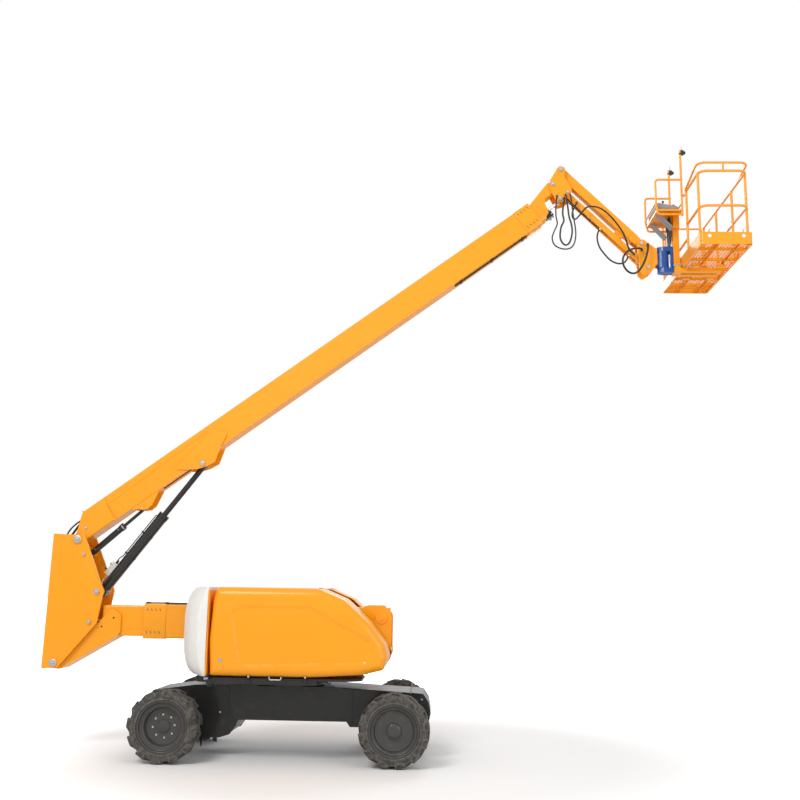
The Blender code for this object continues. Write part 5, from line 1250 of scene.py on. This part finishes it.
def nose_details():
    # Black strip and clamps under the front of the boom, and the block on the levelling cylinder
    strip = [box(6.90, 8.30, -0.060, -0.020, -0.078, -0.0555)]
    for s in (7.0, 7.6, 8.2):
        strip.append(box(s, s + 0.04, -0.085, 0.02, -0.084, -0.0555))
    make("boom_strip", "boom", DARK, strip, 35, 0.003, matrix=BOOM_FRAME)
    fittings = []
    for s, y, n in ((0.56, -0.03, -0.132), (0.60, 0.02, -0.132), (0.64, -0.02, -0.132)):
        fittings.append(moved(lathe([(0, 0), (0.014, 0), (0.014, 0.018), (0.010, 0.022), (0.010, 0.036),
                                     (0, 0.036)], 6, "Z"),
                              facing((s, y, n + 0.004), (0, 0, -1))))
    for s, n in ((0.555, -0.075), (0.64, -0.10)):
        fittings += hex_bolt((s, -0.055, n), (0, -1, 0), 0.010)
    make("slave_fittings", "slave_cylinder", ZINC, fittings, 40, matrix=SLAVE_FRAME)
    # Glands on the jib's cylinder and link where the hoses end
    glands = []
    for s in (0.50, 0.58, 0.762):
        glands.append(lathe([(0.0342, s - 0.020), (0.044, s - 0.020), (0.044, s + 0.020),
                             (0.0342, s + 0.020)], 36, "X", loop=True))
    make("jib_glands", "jib_cylinder", ZINC, glands, 40, matrix=JIB_CYLINDER_FRAME)
    beads = []
    for side in (-1, 1):
        for s in (0.16, 1.52):
            beads.append(tube([(s, side * 0.0805, -0.065), (s, side * 0.0805, 0.065)], 0.004, 8))
    make("jib_beads", "jib", ORANGE, beads, 40, matrix=JIB_FRAME)


# Hoses that hang at the jib; each stands for its cord in the solids
HOSES = {
    "nose_hose": (0.014, [
        (5.640, -0.1503, 8.455), (5.640, -0.195, 8.455), (5.630, -0.240, 8.380), (5.612, -0.250, 8.270),
        (5.605, -0.250, 8.160), (5.622, -0.250, 8.050), (5.582, -0.250, 7.960), (5.561, -0.250, 7.848),
        (5.565, -0.250, 7.746), (5.611, -0.250, 7.665), (5.668, -0.250, 7.655), (5.718, -0.250, 7.725),
        (5.748, -0.250, 7.870), (5.735, -0.250, 8.000), (5.703, -0.250, 8.120), (5.688, -0.250, 8.260),
        (5.676, -0.235, 8.390), (5.665, -0.195, 8.512), (5.665, -0.1503, 8.512)]),
    "thin_hose": (0.011, [
        (5.530, -0.1503, 8.500), (5.530, -0.190, 8.500), (5.515, -0.235, 8.420), (5.500, -0.250, 8.270),
        (5.500, -0.250, 8.120), (5.518, -0.250, 8.000), (5.470, -0.250, 7.880), (5.436, -0.250, 7.773),
        (5.463, -0.250, 7.663), (5.539, -0.250, 7.606), (5.636, -0.250, 7.585), (5.728, -0.250, 7.610),
        (5.780, -0.250, 7.690), (5.802, -0.250, 7.813), (5.796, -0.250, 7.950), (5.772, -0.250, 8.120),
        (5.755, -0.250, 8.270), (5.744, -0.235, 8.400), (5.735, -0.190, 8.522), (5.735, -0.1503, 8.522)]),
    "arch_hose": (0.013, [
        (5.850, -0.0783, 8.4087), (5.850, -0.125, 8.4087), (5.770, -0.185, 8.230), (5.765, -0.205, 8.120),
        (5.815, -0.210, 8.095), (5.900, -0.215, 8.190), (5.981, -0.215, 8.284), (6.075, -0.215, 8.303),
        (6.194, -0.215, 8.274), (6.325, -0.215, 8.173), (6.458, -0.215, 8.008), (6.556, -0.215, 7.840),
        (6.600, -0.205, 7.700), (6.645, -0.170, 7.605), (6.727, -0.125, 7.5466), (6.727, -0.0783, 7.5466)]),
    "jib_hose": (0.013, [
        (6.2264, -0.063, 7.9928), (6.1893, -0.063, 7.9550), (6.165, -0.090, 7.880), (6.155, -0.130, 7.780),
        (6.180, -0.155, 7.660), (6.235, -0.165, 7.563), (6.337, -0.170, 7.441), (6.449, -0.165, 7.385),
        (6.550, -0.140, 7.400), (6.610, -0.095, 7.470), (6.6355, -0.063, 7.5245), (6.6686, -0.063, 7.5582)]),
    "head_hose": (0.016, [
        (6.840, -0.1133, 7.610), (6.840, -0.180, 7.610), (6.790, -0.225, 7.612), (6.700, -0.232, 7.605),
        (6.600, -0.232, 7.560), (6.530, -0.232, 7.460), (6.530, -0.232, 7.340), (6.590, -0.232, 7.240),
        (6.680, -0.232, 7.200), (6.765, -0.232, 7.245), (6.835, -0.232, 7.350), (6.885, -0.232, 7.470),
        (6.915, -0.225, 7.590), (6.930, -0.180, 7.700), (6.930, -0.1133, 7.700)]),
}
HOSE_BODIES = {"nose_hose": "bracket", "thin_hose": "bracket", "arch_hose": "link", "jib_hose": "link",
               "head_hose": "jib_end"}


def even_route(points, spacing):
    fine = smooth_path(points, 20)
    run = [0.0]
    for before, after in zip(fine, fine[1:]):
        run.append(run[-1] + (after - before).length)
    count = max(2, round(run[-1] / spacing))
    path = []
    place = 0
    for k in range(count + 1):
        target = run[-1] * k / count
        while place < len(run) - 2 and run[place + 1] < target:
            place += 1
        share = (target - run[place]) / (run[place + 1] - run[place])
        path.append(fine[place].lerp(fine[place + 1], min(1.0, share)))
    return path


def cords():
    for name, (radius, route) in HOSES.items():
        route = [Vector(point) + Vector((SHIFT_X, 0, 0)) for point in route]
        path = [route[0]] + even_route(route[1:-1], FINE_STEP * 2 * radius) + [route[-1]]
        line = bpy.data.curves.new(name + "_cord", "CURVE")
        line.dimensions = "3D"
        line.bevel_depth = radius
        line.bevel_resolution = 4
        line.use_fill_caps = True
        spline = line.splines.new("POLY")
        spline.points.add(len(path) - 1)
        for point, spot in zip(spline.points, path):
            point.co = (*spot, 1.0)
        line.materials.append(HOSE)
        cord = bpy.data.objects.new(name + "_cord", line)
        bpy.context.scene.collection.objects.link(cord)
        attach(cord, HOSE_BODIES[name])
        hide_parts(name)


def crimps():
    # Fitting on each end of a hanging hose
    groups = {}
    for name, (radius, route) in HOSES.items():
        for end, beyond in ((route[0], route[1]), (route[-1], route[-2])):
            end, beyond = Vector(end), Vector(beyond)
            run = (beyond - end).normalized()
            profile = [(radius + 0.0004, 0.0), (radius + 0.0045, 0.0), (radius + 0.0045, 0.030),
                       (radius + 0.0030, 0.034),
                       (radius + 0.0004, 0.034)]
            part = moved(lathe(profile, 20, "Z", loop=True), facing(end, run))
            groups.setdefault(HOSE_BODIES[name], []).append(part)
    for body, parts in groups.items():
        make("crimps_" + body, body, ZINC, parts, 40)


# Deck, chassis and the small parts below the hoods
def deck_details():
    for side, name in ((-1, "near"), (1, "far")):
        hooks, irons = [], []
        for x in (1.12, 1.895):
            hooks += [box(x - 0.030, x + 0.030, side * 1.045, side * 1.085, 1.058, 1.0945),
                      box(x - 0.012, x + 0.012, side * 1.055, side * 1.085, 1.09, 1.15)]
            hooks.append(lathe([(0, -0.02), (0.016, -0.02), (0.016, 0.02), (0, 0.02)], 20, "Y",
                               (x, side * 1.085, 1.145)))
            irons.append(moved(lathe([(0, 0), (0.017, 0), (0.017, 0.006), (0.010, 0.012), (0, 0.013)], 20,
                                     "Z"),
                               facing((x, side * 1.105, 1.150), (0, side, 0))))
        route = [(1.405, side * 1.075, 1.150), (1.405, side * 1.115, 1.148), (1.410, side * 1.118, 1.112),
                 (1.565, side * 1.118, 1.112), (1.570, side * 1.115, 1.148), (1.570, side * 1.075, 1.150)]
        irons.append(tube(bent(route, 0.018, 6), 0.0085, 12))
        make(f"hood_hooks_{name}", "turret", BLACK, hooks, 40, 0.003)
        make(f"hood_handle_{name}", "turret", ZINC, irons, 50)
        sill = [box(0.53, 2.05, side * 1.052, side * 1.060, 1.040, 1.100),
                box(0.53, 2.05, side * 0.60, side * 1.056, 1.062, 1.070)]
        for x in (0.62, 1.00, 1.50, 1.98):
            sill += hex_bolt((x, side * 1.060, 1.075), (0, side, 0), 0.009)
        make(f"deck_sill_{name}", "turret", BLACK, sill, 35, 0.002)
    # Slewing drive and pipes below the counterweight
    drive = [lathe([(0, 0.998), (0.10, 0.998), (0.10, 1.028), (0, 1.028)], 32, "Z", (0.62, -0.60, 0)),
             lathe([(0, 0.975), (0.045, 0.975), (0.045, 1.12), (0, 1.12)], 24, "Z", (0.52, -0.72, 0)),
             box(0.36, 0.52, -0.78, -0.60, 1.04, 1.125), box(0.30, 0.62, -0.62, -0.56, 1.03, 1.05)]
    for k in range(5):
        y = -0.60 - 0.045 * k
        route = [(0.66, y, 1.050), (0.52, y, 1.068 + 0.006 * (k % 2)), (0.40, y + 0.01, 1.075),
                 (0.33, y + 0.03, 1.108), (0.40, y + 0.05, 1.128)]
        drive.append(tube(smooth_path(route, 6), 0.011, 10))
    make("slew_pipes", "turret", DARK, drive, 40)
    bright = [box(0.70, 1.02, -0.640, -0.632, 1.050, 1.058), box(0.44, 0.50, -0.80, -0.782, 1.07, 1.10)]
    make("slew_labels", "turret", ZINC, bright, 35)


def chassis_details():
    rows, marks = [], []
    for side in (-1, 1):
        y = side * 0.4505
        # Gussets, rail and plugs along the side of the chassis
        for outline in ([(-0.30, 0.870), (-0.20, 0.888), (-0.10, 0.30), (-0.16, 0.30)],
                        [(0.71, 0.966), (0.74, 0.966), (0.74, 0.29), (0.71, 0.31)],
                        [(2.47, 0.955), (2.50, 0.954), (2.50, 0.44), (2.47, 0.44)]):
            rows.append(plate(outline, y, y + side * 0.012))
        rows.append(plate([(3.34, 0.915), (3.50, 0.900), (3.574, 0.790), (3.556, 0.785), (3.492, 0.886),
                           (3.34, 0.900)], y, y + side * 0.010))
        rows.append(plate([(2.36, 0.952), (3.30, 0.905), (3.30, 0.893), (2.36, 0.940)], y, y + side * 0.008))
        marks.append(box(3.318, 3.336, y, y + side * 0.013, 0.905, 0.985))
        marks.append(plug(3.484, y, 0.824, (0, side, 0), 0.014, 0.006))
        for x, z in ((0.20, 0.36), (0.62, 0.60), (0.05, 0.80)):
            marks += hex_bolt((x, y, z), (0, side, 0), 0.012)
        # Guards and hose tails that hang behind the steered wheels
        rows.append(plate([(0.335, 0.27), (0.385, 0.27), (0.372, 0.125), (0.358, 0.125)], y * 0.93, y * 0.90))
        rows.append(plate([(0.50, 0.27), (0.575, 0.27), (0.575, 0.185), (0.52, 0.185)], y * 0.80, y * 0.76))
        rows.append(box(0.43, 0.48, y * 0.90, y * 0.78, 0.225, 0.262))
    make("chassis_gussets", "base", BLACK, rows, 35, 0.002)
    make("chassis_marks", "base", ZINC, marks, 40)
    tails = []
    for side in (-1, 1):
        for k in range(3):
            y = side * (0.36 - 0.05 * k)
            route = [(0.26 + 0.05 * k, y, 0.262), (0.24 + 0.05 * k, y + side * 0.03, 0.215),
                     (0.16, y + side * 0.12, 0.225), (0.10, y + side * 0.16, 0.32),
                     (0.07, y + side * 0.14, 0.40)]
            tails.append(tube(smooth_path(route, 6), 0.011, 10))
    make("steer_tails", "base", HOSE, tails, 60)


def hood_details():
    # Latch and vents of the near and far hoods
    for side, name in ((-1, "left"), (1, "right")):
        latch = pin_head(0.73, 1.364, side * 1.1502, 0.028, side)
        make(f"hood_latch_{name}", f"{name}_hood", ZINC, latch, 40)
        vents = []
        # The vents are dark slots of painted shade in the hood's top
        for k in range(7):
            x = 2.03 + 0.035 * k
            z = 2.352 - 0.34 * max(0.0, x - 2.06)
            vents.append(box(x, x + 0.016, side * 0.72, side * 0.95, z - 0.030, z - 0.001 - 0.006 * k))
        make(f"hood_vent_shade_{name}", f"{name}_hood", DARK, vents, 35, 0.002)


# Brackets under the platform
def platform_details():
    parts = []
    for y in (-0.30, 0.30):
        for x in (7.62, 8.00):
            parts += [box(x - 0.06, x + 0.06, y - 0.034, y - 0.029, 7.285, 7.335),
                      box(x - 0.06, x + 0.06, y + 0.029, y + 0.034, 7.285, 7.335),
                      box(x - 0.06, x + 0.06, y - 0.034, y + 0.034, 7.281, 7.286)]
    make("floor_brackets", "platform", ORANGE, parts, 35, 0.002)
    foot = [box(7.345, 7.435, side * 0.086, side * 0.125, 7.332, 7.40) for side in (-1, 1)]
    make("mast_feet", "platform", YELLOW, foot, 35, 0.003)
    lock = [lathe([(0, -0.03), (0.013, -0.03), (0.013, 0.09), (0, 0.09)], 20, "X", (7.35, -0.135, 7.37)),
            lathe([(0, -0.006), (0.020, -0.006), (0.020, 0.006), (0, 0.006)], 20, "X", (7.33, -0.135, 7.37))]
    make("mast_lock", "platform", ZINC, lock, 40)
    # Thin darker orange plates on the mast, painted shade
    frame_box = [box(7.325, 7.339, -0.07, 0.07, 7.88, 7.975), box(7.315, 7.339, -0.02, 0.02, 7.60, 7.72)]
    make("mast_shade_boxes", "platform", SHADE_ORANGE, frame_box, 35, 0.003)
    toe = []
    for k in range(22):
        y = -1.10 + k * 0.105
        toe.append(plug(8.2102, y, 7.352, (1, 0, 0), 0.007, 0.0015))
    make("toe_dots", "platform", DARK, toe, 40)


# Camera, floor and light
def camera():
    pitch, yaw, roll = (math.radians(a) for a in CAMERA_TURN)
    forward = Vector((-math.sin(yaw) * math.cos(pitch), math.cos(yaw) * math.cos(pitch), math.sin(pitch)))
    side = Vector((math.cos(yaw), math.sin(yaw), 0))
    above = side.cross(forward)
    right = side * math.cos(roll) + above * math.sin(roll)
    up = above * math.cos(roll) - side * math.sin(roll)
    lens = bpy.data.cameras.new("camera")
    lens.sensor_width = 36.0
    lens.lens = FOCAL_PIXELS / PICTURE_PIXELS * lens.sensor_width
    lens.clip_end = 400.0
    holder = bpy.data.objects.new("camera", lens)
    bpy.context.scene.collection.objects.link(holder)
    rotation = Matrix((right, up, -forward)).transposed().to_4x4()
    x, y, z = CAMERA_PLACE
    holder.matrix_world = Matrix.Translation((x + SHIFT_X, y, z)) @ rotation
    bpy.context.scene.camera = holder


def lamp(name, place, target, size, power, colour=(1, 1, 1)):
    light = bpy.data.lights.new(name, "AREA")
    light.shape = "DISK"
    light.size = size
    light.energy = power
    light.color = colour
    holder = bpy.data.objects.new(name, light)
    bpy.context.scene.collection.objects.link(holder)
    aim = Vector(target) - Vector(place)
    holder.matrix_world = Matrix.Translation(place) @ aim.to_track_quat("-Z", "Y").to_matrix().to_4x4()


def stage():
    world = bpy.data.worlds.new("world")
    bpy.context.scene.world = world
    world.use_nodes = True
    nodes, links = world.node_tree.nodes, world.node_tree.links
    background = nodes["Background"]
    path = nodes.new("ShaderNodeLightPath")
    seen = nodes.new("ShaderNodeMath")
    seen.operation = "MAXIMUM"
    seen_too = nodes.new("ShaderNodeMath")
    seen_too.operation = "MAXIMUM"
    links.new(path.outputs["Is Camera Ray"], seen.inputs[0])
    links.new(path.outputs["Is Glossy Ray"], seen.inputs[1])
    links.new(seen.outputs[0], seen_too.inputs[0])
    links.new(path.outputs["Is Transmission Ray"], seen_too.inputs[1])
    strength = nodes.new("ShaderNodeMapRange")
    strength.inputs["To Min"].default_value = WORLD_LEVEL
    strength.inputs["To Max"].default_value = 1.0
    links.new(seen_too.outputs[0], strength.inputs["Value"])
    links.new(strength.outputs["Result"], background.inputs["Strength"])
    background.inputs["Color"].default_value = (1, 1, 1, 1)
    mesh = bpy.data.meshes.new("floor")
    reach = 160.0
    mesh.from_pydata([(-reach, -reach, 0), (reach, -reach, 0), (reach, reach, 0), (-reach, reach, 0)], [],
                     [(0, 1, 2, 3)])
    floor = bpy.data.objects.new("floor", mesh)
    bpy.context.scene.collection.objects.link(floor)
    material, nodes, links, shader = shader_nodes("floor")
    shader.inputs["Base Color"].default_value = (0.93, 0.93, 0.93, 1)
    shader.inputs["Roughness"].default_value = 0.9
    shader.inputs["Specular IOR Level"].default_value = 0.1
    # The floor turns to plain white away from the machine, so no horizon shows
    coord = nodes.new("ShaderNodeTexCoord")
    span = nodes.new("ShaderNodeVectorMath")
    span.operation = "LENGTH"
    links.new(coord.outputs["Object"], span.inputs[0])
    away = nodes.new("ShaderNodeMapRange")
    away.interpolation_type = "SMOOTHSTEP"
    away.inputs["From Min"].default_value = 3.0
    away.inputs["From Max"].default_value = 9.0
    links.new(span.outputs["Value"], away.inputs["Value"])
    shader.inputs["Emission Color"].default_value = (1, 1, 1, 1)
    path = nodes.new("ShaderNodeLightPath")
    lit = nodes.new("ShaderNodeMath")
    lit.operation = "MULTIPLY"
    links.new(away.outputs["Result"], lit.inputs[0])
    links.new(path.outputs["Is Camera Ray"], lit.inputs[1])
    links.new(lit.outputs[0], shader.inputs["Emission Strength"])
    mesh.materials.append(material)


eased()
hoods()
wheels()
counterweight()
platform_floor()
platform_rails()
platform_gate()
console_guard()
console()
pin_heads()
collar_marks()
heel_details()
cylinder_details()
nose_details()
cords()
crimps()
deck_details()
chassis_details()
hood_details()
platform_details()
bpy.context.scene.view_settings.view_transform = "Standard"
bpy.context.scene.view_settings.look = "None"
camera()
stage()
lamp("key", (-7.0, -13.0, 15.0), (0, 0, 3.5), 7.0, 1500.0, (1.0, 0.985, 0.96))
lamp("fill", (9.0, -12.0, 6.0), (0, 0, 3.0), 8.0, 420.0, (0.97, 0.985, 1.0))
lamp("back", (3.0, 12.0, 12.0), (0, 0, 3.0), 8.0, 600.0)
